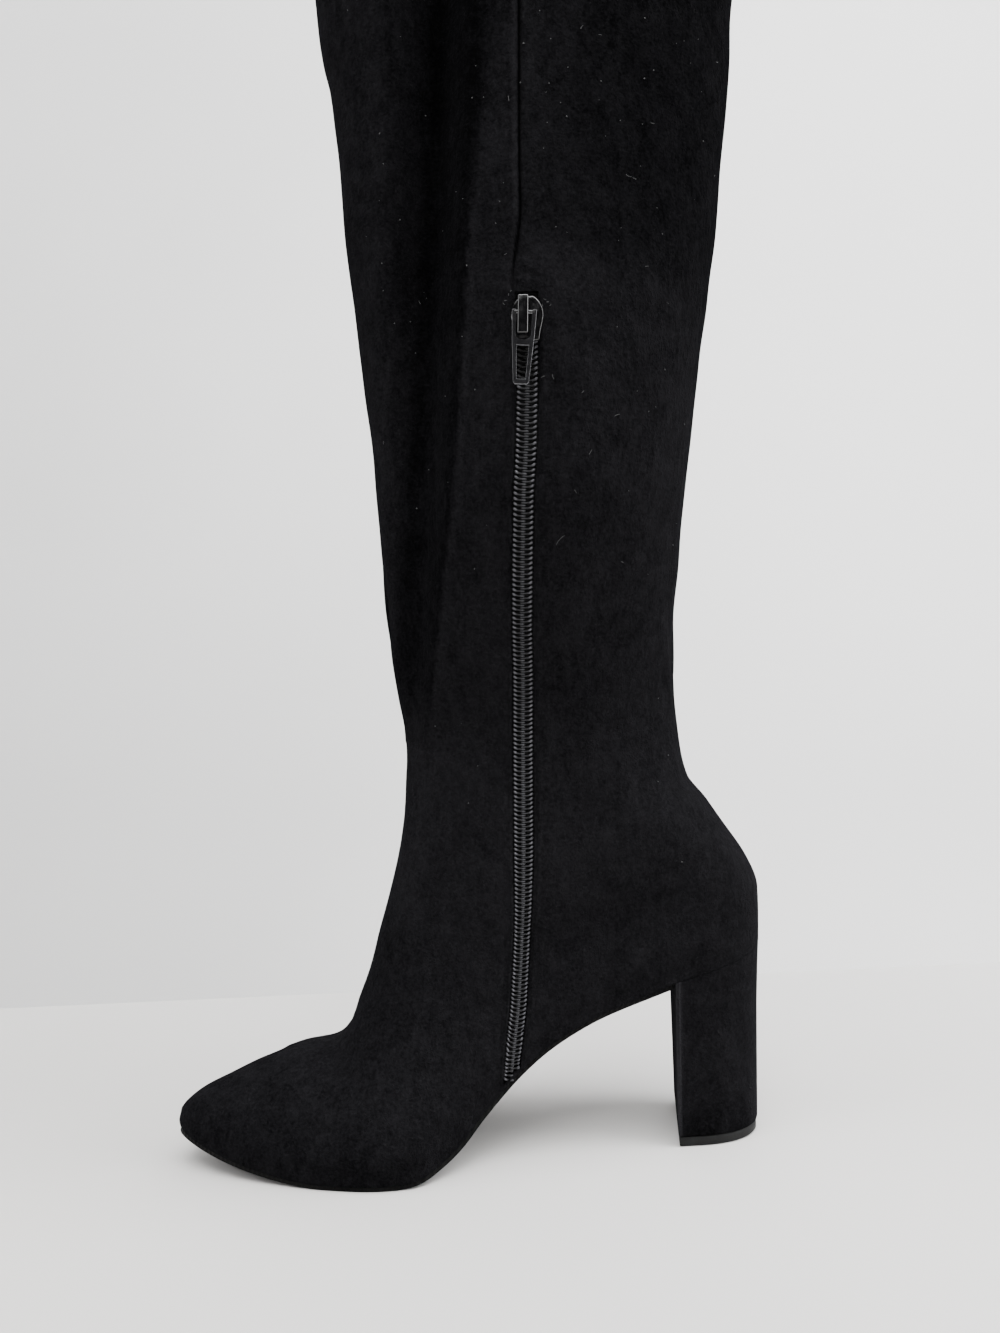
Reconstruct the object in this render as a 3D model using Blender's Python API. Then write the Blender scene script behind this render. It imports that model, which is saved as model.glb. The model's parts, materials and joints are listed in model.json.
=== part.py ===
"""Over-the-knee boot for the right foot, standing empty on its heel and forefoot.

Run with: blender --background --python part.py

The toe points along -X, the inner (medial) side with the zip faces -Y and +Z is up.
The origin is the middle of the heel top piece, on the floor.
Tables are in millimetres. Meshes are made in metres.
"""

import math
from functools import lru_cache

import bmesh
import bpy
import numpy as np
from mathutils import Matrix, Vector

MM = 0.001
DOUBLES = 0.01                 # points this near each other are merged
GAP = 0.3                      # clearance between neighbouring pieces
CURVED_GAP = 0.6               # clearance where two bent sheets lie on each other

# Leading sizes of the boot, in millimetres.
COLLAR_Z = 620.0               # height of the collar above the floor
ANKLE_Z = 175.0                # level of the slimmest ankle, where the sections start to fan
FAN_X = -172.5                 # the sections of the instep fan about the line (FAN_X, ANKLE_Z)
TOE_X = -213.5                 # foremost point of the upper
HEEL_X = 20.7                  # rearmost point of the heel seat
BREAST_X = -18.5               # front face of the heel at the seat
SOLE_END_GAP = 1.2             # the outsole's end leans back towards the heel's breast
WALL = 1.8                     # suede, backing and lining together
CORNER = 2.5                   # radius where the wall turns under the sole
MARGIN = 8.0                   # lasting margin turned in under the foot
SOLE_THICK = 2.0
INSOLE_THICK = 2.0
INSOLE_SEAT_GAP = 1.2          # the margin's bend at the ball needs more room
INSOLE_INSET = 3.6             # insole edge, in from the outside of the upper
SOLE_INSET = 1.0               # outsole edge, in from the outside of the upper
HEEL_INSET = 0.6               # heel cover, in from the outside of the upper
TOP_PIECE_THICK = 3.8
BALL_FLAT = (-155.5, -127.5)   # the forefoot touches the floor between these stations
TOE_SPRING = 12.0
TOE_SPRING_POWER = 1.7

# Zip: a moulded coil 7.4 mm wide in a slot of the inner side.
SLOT_HALF = 4.5
COIL_HALF = 3.7
COIL_SPLIT = 0.22              # each coil stops this far from the middle line
COIL_DEPTH = (0.2, 2.0)        # outer and inner face of the coils under the suede face
TAPE_DEPTH = (2.5, 3.0)
TAPE_HALF = 11.0
SLOT_TOP_Z = 324.0
SLIDER_Z = 312.4               # middle of the slider, at the top of the closed zip


class Table:
    """Rows of numbers with named columns. The first column is the key, in order."""

    def __init__(self, columns, *rows):
        ordered = np.array(sorted(rows))
        self.keys = ordered[:, 0]
        self.columns = dict(zip(columns.split(), ordered.T))

    def smooth(self, column, key):
        """Value of a column at a key, on a smooth curve through the rows."""
        keys = self.keys
        values = self.columns[column]
        key = min(max(key, keys[0]), keys[-1])
        i = int(min(np.searchsorted(keys, key, side="right"), len(keys) - 1)) - 1
        step = keys[i + 1] - keys[i]
        t = (key - keys[i]) / step
        start = (2 * t - 3) * t * t + 1
        return (start * values[i] + (1 - start) * values[i + 1]
                + step * t * (1 - t) * ((1 - t) * self.tangent(values, i)
                                        - t * self.tangent(values, i + 1)))

    def tangent(self, values, i):
        """Slope at a row that keeps the curve from overshooting."""
        last = len(values) - 1
        before = max(i - 1, 0)
        after = min(i, last - 1)
        low = (values[before + 1] - values[before]) / (self.keys[before + 1] - self.keys[before])
        high = (values[after + 1] - values[after]) / (self.keys[after + 1] - self.keys[after])
        if low * high <= 0:
            return 0.0
        return 2.0 * low * high / (low + high)


# Front line of the silhouette, collar to toe tip, as points (x, z).
FRONT_LINE = (
    (-159.0, 620.0), (-157.0, 560.0), (-154.5, 500.0), (-151.9, 460.0),
    (-150.3, 440.0), (-148.9, 430.0), (-146.3, 419.0), (-144.3, 400.0),
    (-141.9, 360.0), (-137.6, 320.0), (-133.3, 280.0), (-130.3, 240.0),
    (-127.3, 200.0), (-123.9, 175.0), (-122.3, 150.0), (-123.7, 128.0),
    (-128.1, 107.0), (-133.7, 87.0), (-139.5, 67.0), (-143.0, 58.4),
    (-147.6, 47.0), (-154.5, 42.6), (-163.5, 41.2), (-174.5, 37.8),
    (-185.5, 34.0), (-195.5, 30.0), (-204.5, 26.6), (-209.5, 23.6),
    (-212.5, 20.4), (-213.5, 16.0),
)

# Back line of the silhouette, collar to heel seat.
BACK_LINE = Table(
    "z x",
    (620.0, 22.1), (560.0, 21.1), (500.0, 19.3), (462.0, 17.1),
    (430.0, 14.1), (400.0, 10.7), (360.0, 5.9), (320.0, 0.3),
    (280.0, -5.6), (240.0, -10.1), (205.0, -13.1), (178.0, -12.7),
    (160.0, -10.9), (145.5, -7.7), (134.0, 0.9), (123.0, 8.1),
    (112.0, 14.5), (101.0, 19.3), (91.0, 21.5), (82.5, 20.9), (76.0, 20.7),
)

# Widths of the leg at each level, from the plane y = 0, and the line where both sides meet.
LEVELS = Table(
    "z medial lateral parting back_round",
    (620.0, 46.0, 39.0, -3.0, 83.0),
    (540.0, 45.0, 37.0, -4.0, 80.0),
    (460.0, 46.0, 35.0, -5.0, 77.0),
    (420.0, 49.0, 35.0, -6.0, 75.0),
    (380.0, 53.0, 36.0, -7.0, 72.0),
    (340.0, 57.0, 37.0, -8.0, 67.0),
    (300.0, 59.5, 38.0, -8.0, 62.0),
    (260.0, 57.5, 38.0, -7.5, 59.0),
    (220.0, 48.0, 35.5, -6.0, 56.0),
    (190.0, 39.0, 32.0, -4.0, 54.0),
    (165.0, 33.5, 29.5, -2.0, 50.0),
    (140.0, 32.0, 29.0, -1.0, 42.0),
    (110.0, 31.0, 29.0, 0.0, 34.0),
    (80.0, 29.0, 28.5, 0.0, 29.0),
    (40.0, 29.0, 29.0, 0.0, 28.0),
)

# Sole outline, from the plane y = 0, and the line in the middle of the toe.
OUTLINE = Table(
    "x medial lateral middle",
    (-213.5, 40.4, 42.0, -6.0),
    (-187.5, 40.4, 42.0, -3.4),
    (-160.5, 40.4, 42.0, 0.0),
    (-137.5, 40.6, 42.0, 0.5),
    (-123.5, 40.2, 41.4, 1.0),
    (-109.5, 33.8, 39.6, 1.5),
    (-95.5, 27.0, 36.6, 2.0),
    (-77.5, 24.4, 32.4, 1.5),
    (-52.5, 23.6, 28.6, 1.0),
    (-18.5, 24.8, 26.2, 0.3),
    (20.7, 25.4, 25.8, 0.0),
)
TOE_ROUND = (80.0, 1.55)       # reach and power of the almond toe
HEEL_ROUND = (28.0, 2.15)      # reach and power of the round heel seat
OUTLINE_BLEND = (4.0, 60.0)    # heights over the feather edge where outline turns into level
BULGE = 1.6                    # the wall swells over the feather edge
BULGE_HEIGHT = 9.0

# Underside of the waist, from the ball to the heel breast.
WAIST = Table(
    "x z",
    (-127.5, 0.0), (-119.5, 1.2), (-111.5, 4.4), (-103.5, 9.6), (-95.5, 17.6),
    (-87.5, 25.8), (-79.5, 33.4), (-69.5, 41.4), (-57.5, 48.6), (-47.5, 53.4),
    (-37.5, 57.3), (-27.5, 60.9), (-18.5, 64.2),
)
SEAT_SLOPE = 0.28              # rise of the heel seat towards the back

# How deep the ridge in front is rounded, by fan station.
RIDGE = Table(
    "station depth power",
    (445.0, 100.0, 2.0), (285.0, 93.0, 2.0), (205.0, 82.0, 2.0), (125.0, 74.0, 2.0),
    (65.0, 66.0, 2.0), (0.0, 60.0, 2.0), (-30.0, 58.0, 2.0), (-50.0, 55.0, 2.0),
    (-65.0, 50.0, 2.0), (-80.0, 43.0, 2.05), (-90.0, 37.0, 2.1), (-100.0, 31.0, 2.1),
    (-113.0, 22.0, 2.1), (-122.0, 14.0, 2.1), (-128.0, 8.5, 2.1), (-131.0, 4.5, 2.0),
)

# Rings of the wall, named by their level at the back. Each meets the front line at a fan
# station, and sags from a straight slice towards the line of the feather edge.
RINGS = Table(
    "back_z front_station sag",
    (620.0, 445.0, 0.00), (400.0, 225.0, 0.00), (200.0, 25.0, 0.00),
    (175.0, 0.0, 0.00), (163.0, -14.0, 0.02), (152.0, -27.0, 0.05), (143.0, -39.0, 0.10),
    (134.0, -50.0, 0.16), (125.0, -60.0, 0.24), (116.0, -69.0, 0.33), (109.5, -75.5, 0.38),
    (105.5, -80.5, 0.40), (101.0, -87.0, 0.53), (95.0, -98.0, 0.67), (90.0, -110.0, 0.79),
    (86.0, -120.5, 0.895),
    (83.0, -128.0, 0.96), (80.4, -131.0, 1.00),
)
FEATHER_LEVEL = RINGS.keys[0]
LEVELS_MADE = (
    620.0, 580.0, 540.0, 500.0, 470.0, 448.0, 432.0, 419.0, 402.0, 380.0, 358.0,
    341.0, 324.0, 300.0, 275.0, 250.0, 228.0, 208.0, 190.0,
) + tuple(RINGS.keys[RINGS.keys <= ANKLE_Z][::-1])

# The long slack fold on the inner side of the leg: its valley, its crest and its depth.
FOLD = Table(
    "z valley_x crest_x depth",
    (620.0, -101.5, -88.5, 3.0), (540.0, -101.5, -88.8, 8.0), (460.0, -102.0, -89.6, 14.0),
    (420.0, -103.5, -91.4, 16.0), (363.0, -106.5, -95.0, 17.0), (327.0, -108.5, -97.2, 17.0),
    (290.0, -110.6, -100.0, 16.0), (254.0, -112.8, -103.3, 14.0), (216.0, -115.6, -107.9, 10.0),
    (190.0, -117.3, -110.8, 6.5), (165.0, -119.2, -113.9, 2.5), (143.0, -121.5, -117.5, 0.0),
)
FOLD_REACH = 22.0              # the front lobe falls into the valley over this length

# Where the zip, and the seam above it, run in the side view.
ZIP_LINE = Table(
    "z x",
    (620.0, -74.5), (540.0, -74.3), (460.0, -74.2), (423.0, -75.0), (352.0, -76.6),
    (318.0, -75.6), (270.0, -76.8), (248.0, -78.0), (214.0, -78.2), (178.0, -77.6),
    (140.0, -77.9), (102.0, -78.6), (63.0, -80.6), (48.0, -82.4), (34.0, -83.8),
    (20.0, -85.0),
)

MEDIAL_FRONT = 14              # columns from the front ridge to the slot
MEDIAL_BACK = 12               # columns from the slot to the back ridge
LATERAL = 27                   # columns of the outer side


def ease(t):
    """Soft step from 0 to 1."""
    t = min(max(t, 0.0), 1.0)
    return t * t * (3 - 2 * t)


def rounding(share, power):
    """Quarter of a superellipse: 0 at the edge, 1 from share 1 on."""
    share = min(max(share, 0.0), 1.0)
    return (1 - (1 - share) ** power) ** (1 / power)


def fan_station(x, z):
    """Section through a point of the side view, and the distance along that section."""
    if z >= ANKLE_Z:
        return z - ANKLE_Z, x - FAN_X
    if x <= FAN_X:
        return x - FAN_X - 90.0, ANKLE_Z - z
    return -math.degrees(math.atan2(ANKLE_Z - z, x - FAN_X)), math.hypot(x - FAN_X, ANKLE_Z - z)


FRONT_FAN = Table("station reach", *(fan_station(x, z) for x, z in FRONT_LINE))


def front_point(station):
    """Point of the front line at a fan station."""
    reach = FRONT_FAN.smooth("reach", station)
    if station >= 0:
        return FAN_X + reach, ANKLE_Z + station
    if station <= -90.0:
        return FAN_X + 90.0 + station, ANKLE_Z - reach
    angle = math.radians(-station)
    return FAN_X + reach * math.cos(angle), ANKLE_Z - reach * math.sin(angle)


def sole_bottom(x):
    """Height of the outsole's walking face."""
    if x < BALL_FLAT[0]:
        share = (BALL_FLAT[0] - x) / (BALL_FLAT[0] - TOE_X)
        return TOE_SPRING * share ** TOE_SPRING_POWER
    if x < BALL_FLAT[1]:
        return 0.0
    if x < BREAST_X:
        return WAIST.smooth("z", x)
    return WAIST.smooth("z", BREAST_X) + SEAT_SLOPE * (x - BREAST_X)


def squared(x, distance):
    """Upright height of a distance that is measured square to the sloping sole."""
    slope = (sole_bottom(x + 1.0) - sole_bottom(x - 1.0)) / 2.0
    return distance * math.hypot(1.0, slope)


def underside(x):
    """Height of the upper's turned-in margin, just over the outsole and the heel."""
    return sole_bottom(x) + squared(x, SOLE_THICK + CURVED_GAP)


def feather(x):
    """Height where the wall of the upper starts to turn under."""
    return underside(x) + CORNER


def side_y(x, z, side):
    """Sideways place of the upper's outer face. side is -1 inside the leg, +1 outside."""
    column = "medial" if side < 0 else "lateral"
    lift = z - feather(x)
    share = ease((lift - OUTLINE_BLEND[0]) / (OUTLINE_BLEND[1] - OUTLINE_BLEND[0]))
    low_round = (rounding((x - TOE_X) / TOE_ROUND[0], TOE_ROUND[1])
                 * rounding((HEEL_X - x) / HEEL_ROUND[0], HEEL_ROUND[1]))
    back_gap = BACK_LINE.smooth("x", z) - x
    high_round = rounding(back_gap / LEVELS.smooth("back_round", z), 2.0)
    swell = BULGE * max(lift, 0.0) / BULGE_HEIGHT * math.exp(1 - max(lift, 0.0) / BULGE_HEIGHT)
    low = OUTLINE.smooth(column, x) + swell
    width = low + (LEVELS.smooth(column, z) - low) * share
    low_middle = OUTLINE.smooth("middle", x)
    middle = low_middle + (LEVELS.smooth("parting", z) - low_middle) * share
    station, reach = fan_station(x, z)
    depth = (reach - FRONT_FAN.smooth("reach", station)) / RIDGE.smooth("depth", station)
    ridge = rounding(depth, RIDGE.smooth("power", station))
    round_all = (low_round + (high_round - low_round) * share) * ridge
    y = middle + (side * width - middle) * round_all
    return y + fold_depth(x, z) if side < 0 else y


def fold_depth(x, z):
    """How far the slack fold sinks the inner side."""
    if z <= FOLD.keys[0]:
        return 0.0
    valley = FOLD.smooth("valley_x", z)
    crest = FOLD.smooth("crest_x", z)
    if x > valley:
        share = ease((crest - x) / (crest - valley))
    else:
        share = ease((x - valley + FOLD_REACH) / FOLD_REACH)
    return FOLD.smooth("depth", z) * share


def ring_ends(level):
    """Where a ring meets the front line and the back line, in the side view."""
    front_x, front_z = front_point(RINGS.smooth("front_station", level))
    return front_x, front_z, BACK_LINE.smooth("x", level), level


def ring_place(level, share):
    """Side view of a ring: x and z at a share of its length, from front 0 to back 1."""
    front_x, front_z, back_x, back_z = ring_ends(level)
    x = front_x + (back_x - front_x) * share
    straight = front_z + (back_z - front_z) * share
    edge_x = TOE_X + (HEEL_X - TOE_X) * share
    edge_straight = feather(TOE_X) + (feather(HEEL_X) - feather(TOE_X)) * share
    return x, straight + RINGS.smooth("sag", level) * (feather(edge_x) - edge_straight)


def ring_point(level, share, side):
    """Point of the outer face on a ring. side is -1 inside the leg, +1 outside."""
    x, z = ring_place(level, share)
    return Vector((x, side_y(x, z, side), z))


@lru_cache(maxsize=None)
def zip_share(level):
    """Share of the ring where the zip, or the seam over it, crosses it."""
    low, high = 0.2, 0.8
    while high - low > 1e-7:
        middle = (low + high) / 2
        x, z = ring_place(level, middle)
        if x < ZIP_LINE.smooth("x", z):
            low = middle
        else:
            high = middle
    return low


@lru_cache(maxsize=None)
def zip_steps(level):
    """Change of place per share along the ring, and per millimetre down the zip."""
    step = 0.01
    share = zip_share(level)
    along = (ring_point(level, share + step, -1) - ring_point(level, share - step, -1)) / (2 * step)
    upper = min(level + 1.5, COLLAR_Z)
    lower = max(level - 1.5, FEATHER_LEVEL)
    down = ring_point(lower, zip_share(lower), -1) - ring_point(upper, zip_share(upper), -1)
    return along, down.normalized()


def share_per_mm(level):
    """Share of the ring that lies one millimetre beside the zip, measured square to it."""
    along, down = zip_steps(level)
    return 1.0 / along.cross(down).length


def column_place(level, column):
    """Share and side of a column: down the inner side to the back, then round the outside."""
    middle = zip_share(level)
    half = SLOT_HALF * share_per_mm(level)
    medial = MEDIAL_FRONT + 1 + MEDIAL_BACK
    if column <= MEDIAL_FRONT:
        turn = math.pi / 2 * column / MEDIAL_FRONT
        return (middle - half) * (1 - math.cos(turn)), -1
    if column <= medial:
        turn = math.pi / 2 * (column - MEDIAL_FRONT - 1) / MEDIAL_BACK
        start = middle + half
        return start + (1 - start) * math.sin(turn), -1
    turn = math.pi * (column - medial) / LATERAL
    return (1 + math.cos(turn)) / 2, 1


def inset_point(point, inset, rise):
    """A feather-edge point moved in towards the middle of the sole, at a height over it."""
    axis_x = min(max(point.x, TOE_X + 18.0), HEEL_X - 24.0)
    axis = Vector((axis_x, OUTLINE.smooth("middle", axis_x)))
    flat = Vector((point.x, point.y))
    flat = flat + (axis - flat).normalized() * inset
    return Vector((flat.x, flat.y, underside(flat.x) + squared(flat.x, rise)))


def outline_point(share, side, inset, rise):
    """Point of the sole's outline at a share of its length."""
    edge = ring_point(FEATHER_LEVEL, share, side)
    return inset_point(edge, inset, rise)


# ---------------------------------------------------------------- scene helpers

def clear_scene():
    """Remove every object, so that the script starts from nothing."""
    for old in list(bpy.data.objects):
        bpy.data.objects.remove(old, do_unlink=True)


def material(name, colour, roughness, metallic=0.0):
    """A plain Principled material."""
    made = bpy.data.materials.new(name)
    made.use_nodes = True
    shader = made.node_tree.nodes["Principled BSDF"]
    shader.inputs["Base Color"].default_value = (*colour, 1.0)
    shader.inputs["Roughness"].default_value = roughness
    shader.inputs["Metallic"].default_value = metallic
    return made


def finish(bm, name, look, matrix=None):
    """Turn a bmesh in millimetres into a named object in metres."""
    bmesh.ops.scale(bm, verts=bm.verts, vec=(MM, MM, MM))
    mesh = bpy.data.meshes.new(name)
    bm.to_mesh(mesh)
    bm.free()
    mesh.shade_smooth()
    mesh.set_sharp_from_angle(angle=math.radians(40))
    made = bpy.data.objects.new(name, mesh)
    made.data.materials.append(look)
    bpy.context.scene.collection.objects.link(made)
    if matrix is not None:
        made.matrix_world = matrix
    return made


def placed_grid(across, along, place):
    """A grid of faces whose vertices are placed by place(column, row)."""
    bm = bmesh.new()
    bmesh.ops.create_grid(bm, x_segments=across, y_segments=along, size=0.5)
    for vert in bm.verts:
        column = round((vert.co.x + 0.5) * across)
        row = round((vert.co.y + 0.5) * along)
        vert.co = place(column, row)
    return bm


# ---------------------------------------------------------------- upper

def make_upper(look):
    """One hollow wall from the collar to the lasting margin, with the zip's slot."""
    columns = MEDIAL_FRONT + 1 + MEDIAL_BACK + LATERAL
    last = len(LEVELS_MADE) - 1
    turn = CORNER * (1 - math.cos(math.pi / 4))
    margins = ((turn, turn), (CORNER, 0.0), (MARGIN, 0.0))

    def place(column, row):
        level = LEVELS_MADE[min(row, last)]
        share, side = column_place(level, column)
        if row <= last:
            return ring_point(level, share, side)
        inset, rise = margins[row - last - 1]
        return outline_point(share, side, inset, rise)

    bm = placed_grid(columns, last + len(margins), place)
    bmesh.ops.remove_doubles(bm, verts=bm.verts, dist=DOUBLES)
    slot = []
    for row in range(LEVELS_MADE.index(SLOT_TOP_Z), last - 1):
        middle = (slot_edge(row, -1) + slot_edge(row, 1) + slot_edge(row + 1, -1)
                  + slot_edge(row + 1, 1)) / 4
        slot.append(min(bm.faces, key=lambda face: (face.calc_center_median() - middle).length))
    bmesh.ops.delete(bm, geom=slot, context="FACES")
    bmesh.ops.reverse_faces(bm, faces=bm.faces)
    upper = finish(bm, "upper", look)
    wall = upper.modifiers.new("wall", "SOLIDIFY")
    wall.thickness = WALL * MM
    wall.offset = -1.0
    wall.use_even_offset = True
    return upper


def slot_edge(row, end):
    """Corner of the zip's slot on a ring: end is -1 in front, +1 behind."""
    level = LEVELS_MADE[row]
    share = zip_share(level) + end * SLOT_HALF * share_per_mm(level)
    return ring_point(level, share, -1)


# ---------------------------------------------------------------- sole, insole and heel

SHEET_ACROSS = 6
SHEET_ALONG = 30
HEEL_TIP_FRONT = -18.2
HEEL_TIP_BACK = 19.2
HEEL_TIP_HALF = 20.0
HEEL_TIP_ROUND = (0.74, 2.2)   # reach, as a share of the tip's length, and power
HEEL_STEPS = (0.0, 0.06, 0.16, 0.35, 0.6, 0.82, 1.0)
HEEL_TAPER = 0.8               # below 1, the heel narrows soonest under the seat
HEEL_SIDE_POINTS = 10
SEAT_TURN = 0.19               # the breast stands further back outside, per mm of width
TIP_TURN = 0.21
TOP_PIECE_INSET = 0.6


def breast_x(y):
    """Front face of the heel at the seat, which stands further back on the outer side."""
    return BREAST_X + SEAT_TURN * (y + HEEL_TIP_HALF)


def breast_share(side):
    """Share of the sole's length where its edge meets the heel's breast."""
    length = HEEL_X - TOE_X
    edge = outline_point((BREAST_X - TOE_X) / length, side, HEEL_INSET, 0.0)
    return (breast_x(edge.y) - TOE_X) / length


def sole_sheet(name, look, inset, lift, thick, row_share):
    """A sheet under or in the foot: its outline is the upper's, moved in by inset.

    row_share(part, side) is the place of a cross row, as a share of the boot's length.
    """

    def place(column, row):
        part = row / SHEET_ALONG
        medial = outline_point(row_share(part, -1), -1, inset, lift)
        lateral = outline_point(row_share(part, 1), 1, inset, lift)
        return medial.lerp(lateral, column / SHEET_ACROSS)

    bm = placed_grid(SHEET_ACROSS, SHEET_ALONG, place)
    bmesh.ops.remove_doubles(bm, verts=bm.verts, dist=DOUBLES)
    bmesh.ops.recalc_face_normals(bm, faces=bm.faces)
    if sum(face.normal.z for face in bm.faces) < 0:
        bmesh.ops.reverse_faces(bm, faces=bm.faces)
    made = finish(bm, name, look)
    sheet = made.modifiers.new("thickness", "SOLIDIFY")
    sheet.thickness = thick * MM
    sheet.offset = -1.0
    return made


def outsole_share(part, side):
    """Rows of the outsole, close together at the toe, the last along the heel's breast."""
    end = breast_share(side) - SOLE_END_GAP / (HEEL_X - TOE_X)
    return end * (1 - math.cos(math.pi / 2 * part))


def insole_share(part, side):
    """Rows of the insole, close together at both ends."""
    return (1 - math.cos(math.pi * part)) / 2


def heel_sides():
    """Side and share of the heel's length, from the inner breast edge round to the outer."""
    there = [(-1, i) for i in range(HEEL_SIDE_POINTS + 1)]
    back = [(1, i) for i in range(HEEL_SIDE_POINTS - 1, -1, -1)]
    return [(side, math.sin(math.pi / 2 * i / HEEL_SIDE_POINTS)) for side, i in there + back]


def seat_outline():
    """The heel's outline right under the seat."""
    points = []
    for side, turn in heel_sides():
        front = breast_share(side)
        points.append(outline_point(front + (1 - front) * turn, side, HEEL_INSET, -CURVED_GAP))
    return points


def tip_outline(shrink=0.0):
    """The heel's outline at the floor, in the same order."""
    points = []
    scale = 1 - shrink / HEEL_TIP_HALF
    for side, turn in heel_sides():
        half = HEEL_TIP_HALF * rounding((1 - turn) / HEEL_TIP_ROUND[0], HEEL_TIP_ROUND[1])
        front_x = HEEL_TIP_FRONT + TIP_TURN * HEEL_TIP_HALF * (side + 1)
        x = front_x + (HEEL_TIP_BACK - front_x) * turn
        points.append(Vector((x * scale, side * half * scale, 0.0)))
    return points


def loft(rings):
    """A closed solid through rings that have the same number of points, top ring first."""
    bm = bmesh.new()
    count = len(rings[0])
    layers = [[bm.verts.new(point) for point in ring] for ring in rings]
    for upper_layer, lower_layer in zip(layers, layers[1:]):
        for i in range(count):
            j = (i + 1) % count
            bm.faces.new((upper_layer[i], upper_layer[j], lower_layer[j], lower_layer[i]))
    bm.faces.new(layers[0])
    bm.faces.new(layers[-1])
    bmesh.ops.recalc_face_normals(bm, faces=bm.faces)
    return bm


def make_heel(cover, rubber):
    """The covered block and the rubber top piece under it."""
    seat = seat_outline()
    tip = tip_outline()
    floor = TOP_PIECE_THICK + GAP
    rings = []
    for step in HEEL_STEPS:
        ring = []
        for high, low in zip(seat, tip):
            flat = high.lerp(low, step ** HEEL_TAPER)
            ring.append(Vector((flat.x, flat.y, high.z + (floor - high.z) * step)))
        rings.append(ring)
    finish(loft(rings), "heel_block", cover)
    foot = tip_outline(shrink=TOP_PIECE_INSET)
    top = [point + Vector((0, 0, TOP_PIECE_THICK)) for point in foot]
    finish(loft([top, foot]), "heel_top_piece", rubber)


# ---------------------------------------------------------------- zip

def zip_point(level, across, depth):
    """Point beside the zip's middle line: across mm towards the back, depth mm under the face."""
    scale = share_per_mm(level)
    share = zip_share(level) + across * scale
    here = ring_point(level, share, -1)
    along = ring_point(level, share + scale, -1) - ring_point(level, share - scale, -1)
    outward = zip_steps(level)[1].cross(along).normalized()
    return here - outward * depth


def ribbon(name, look, levels, inner_edge, outer, depths, side):
    """A strip along the zip. inner_edge(level) and outer are its edges, from the middle line."""
    layers = []
    for level in levels:
        inner = inner_edge(level)
        places = (inner, (inner + outer) / 2, outer)
        corners = [zip_point(level, side * across, depths[0]) for across in places]
        corners += [zip_point(level, side * across, depths[1]) for across in reversed(places)]
        layers.append(corners)
    finish(loft(layers), name, look)


ZIP_END_LEVEL = 83.7           # the strips end just over the slot's lower end
STRIP_STEP = 4.0               # no strip has a first section shorter than this
NECK_UP = 5.2                  # the neck that parts the coils is this far over the middle
NECK_HALF = 1.2
NECK_LONG = 2.6


def zip_levels(top):
    """Levels from the top of a strip down to its end."""
    return [top] + [level for level in LEVELS_MADE[:-2] if level < top - STRIP_STEP] + [ZIP_END_LEVEL]


def make_zip_strips(tape_look, coil_look):
    """Both tapes and both coils, which meet at the middle line under the slider's neck."""
    coil_top = SLIDER_Z + NECK_UP - NECK_LONG / 2 - GAP
    tape_levels = [SLOT_TOP_Z - 1.0, coil_top + 0.1] + zip_levels(coil_top - 0.4)
    opened = NECK_HALF + 2 * GAP

    def tape_inner(level):
        return opened if level > coil_top else COIL_SPLIT

    def coil_inner(level):
        return COIL_SPLIT

    for word, side in (("front", -1), ("back", 1)):
        ribbon("zip_tape_" + word, tape_look, tape_levels, tape_inner, TAPE_HALF, TAPE_DEPTH, side)
        ribbon("zip_coil_" + word, coil_look, zip_levels(coil_top), coil_inner, COIL_HALF,
               COIL_DEPTH, side)


# Slider and pull tab, in a frame of their own: X towards the heel, Y into the leg, Z up.
SLIDER_OUTLINE = (             # half widths of the front plate, from its top to its foot
    (8.0, 2.4), (6.2, 5.0), (4.4, 6.05), (2.4, 6.05), (-1.6, 4.7), (-8.2, 4.4),
)
PLATE_LIFT = 0.35              # the front plate rides this far over the suede
PLATE_THICK = 1.1
BACK_PLATE_DEPTH = (3.6, 4.5)  # the hidden plate runs behind the tapes
BACK_PLATE_HALF = 4.4
BACK_PLATE_LONG = 14.0
SUNK = 0.4                     # joined shapes run this far into each other
ROUND_SIDES = 12
CROWN_BEVEL = 0.45
CROWN_FLOOR = 0.35             # metal left between the tab's tunnel and the front plate
CROWN_LONG = 14.2
CROWN_HALF = 1.9
CROWN_RISE = 3.6
CROWN_MIDDLE = 0.6             # height of the crown's middle over the slider's
HINGE_UP = 1.2                 # the tab's bar crosses the crown here
HINGE_RADIUS = 0.7
TUNNEL_RADIUS = 1.05
TAB_THICK = 1.3
TAB_TURN = 4.0                 # degrees that the hanging tab leans towards the toe
TAB_OUTLINE = (                # half widths of the tab, down from its bar
    (-0.75, 4.3), (9.0, 3.9), (24.4, 2.75), (25.2, 2.1),
)
TAB_EYE = ((-0.8, 2.75), (8.0, 2.75), (9.6, 1.3))
TAB_WINDOW = ((11.6, 2.15), (23.4, 1.6))
BAR_SEAT = 0.8                 # the bar runs this far into each side of the eye


def zip_frame(z):
    """Frame on the suede over the zip: X along the ring, Y into the leg, Z up the zip."""
    here = zip_point(z, 0.0, 0.0)
    inward = (zip_point(z, 0.0, 1.0) - here).normalized()
    up = zip_point(z + 6.0, 0.0, 0.0) - zip_point(z - 6.0, 0.0, 0.0)
    up = (up - inward * up.dot(inward)).normalized()
    turn = Matrix((inward.cross(up), inward, up)).transposed().to_4x4()
    return Matrix.Translation(here * MM) @ turn


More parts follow.
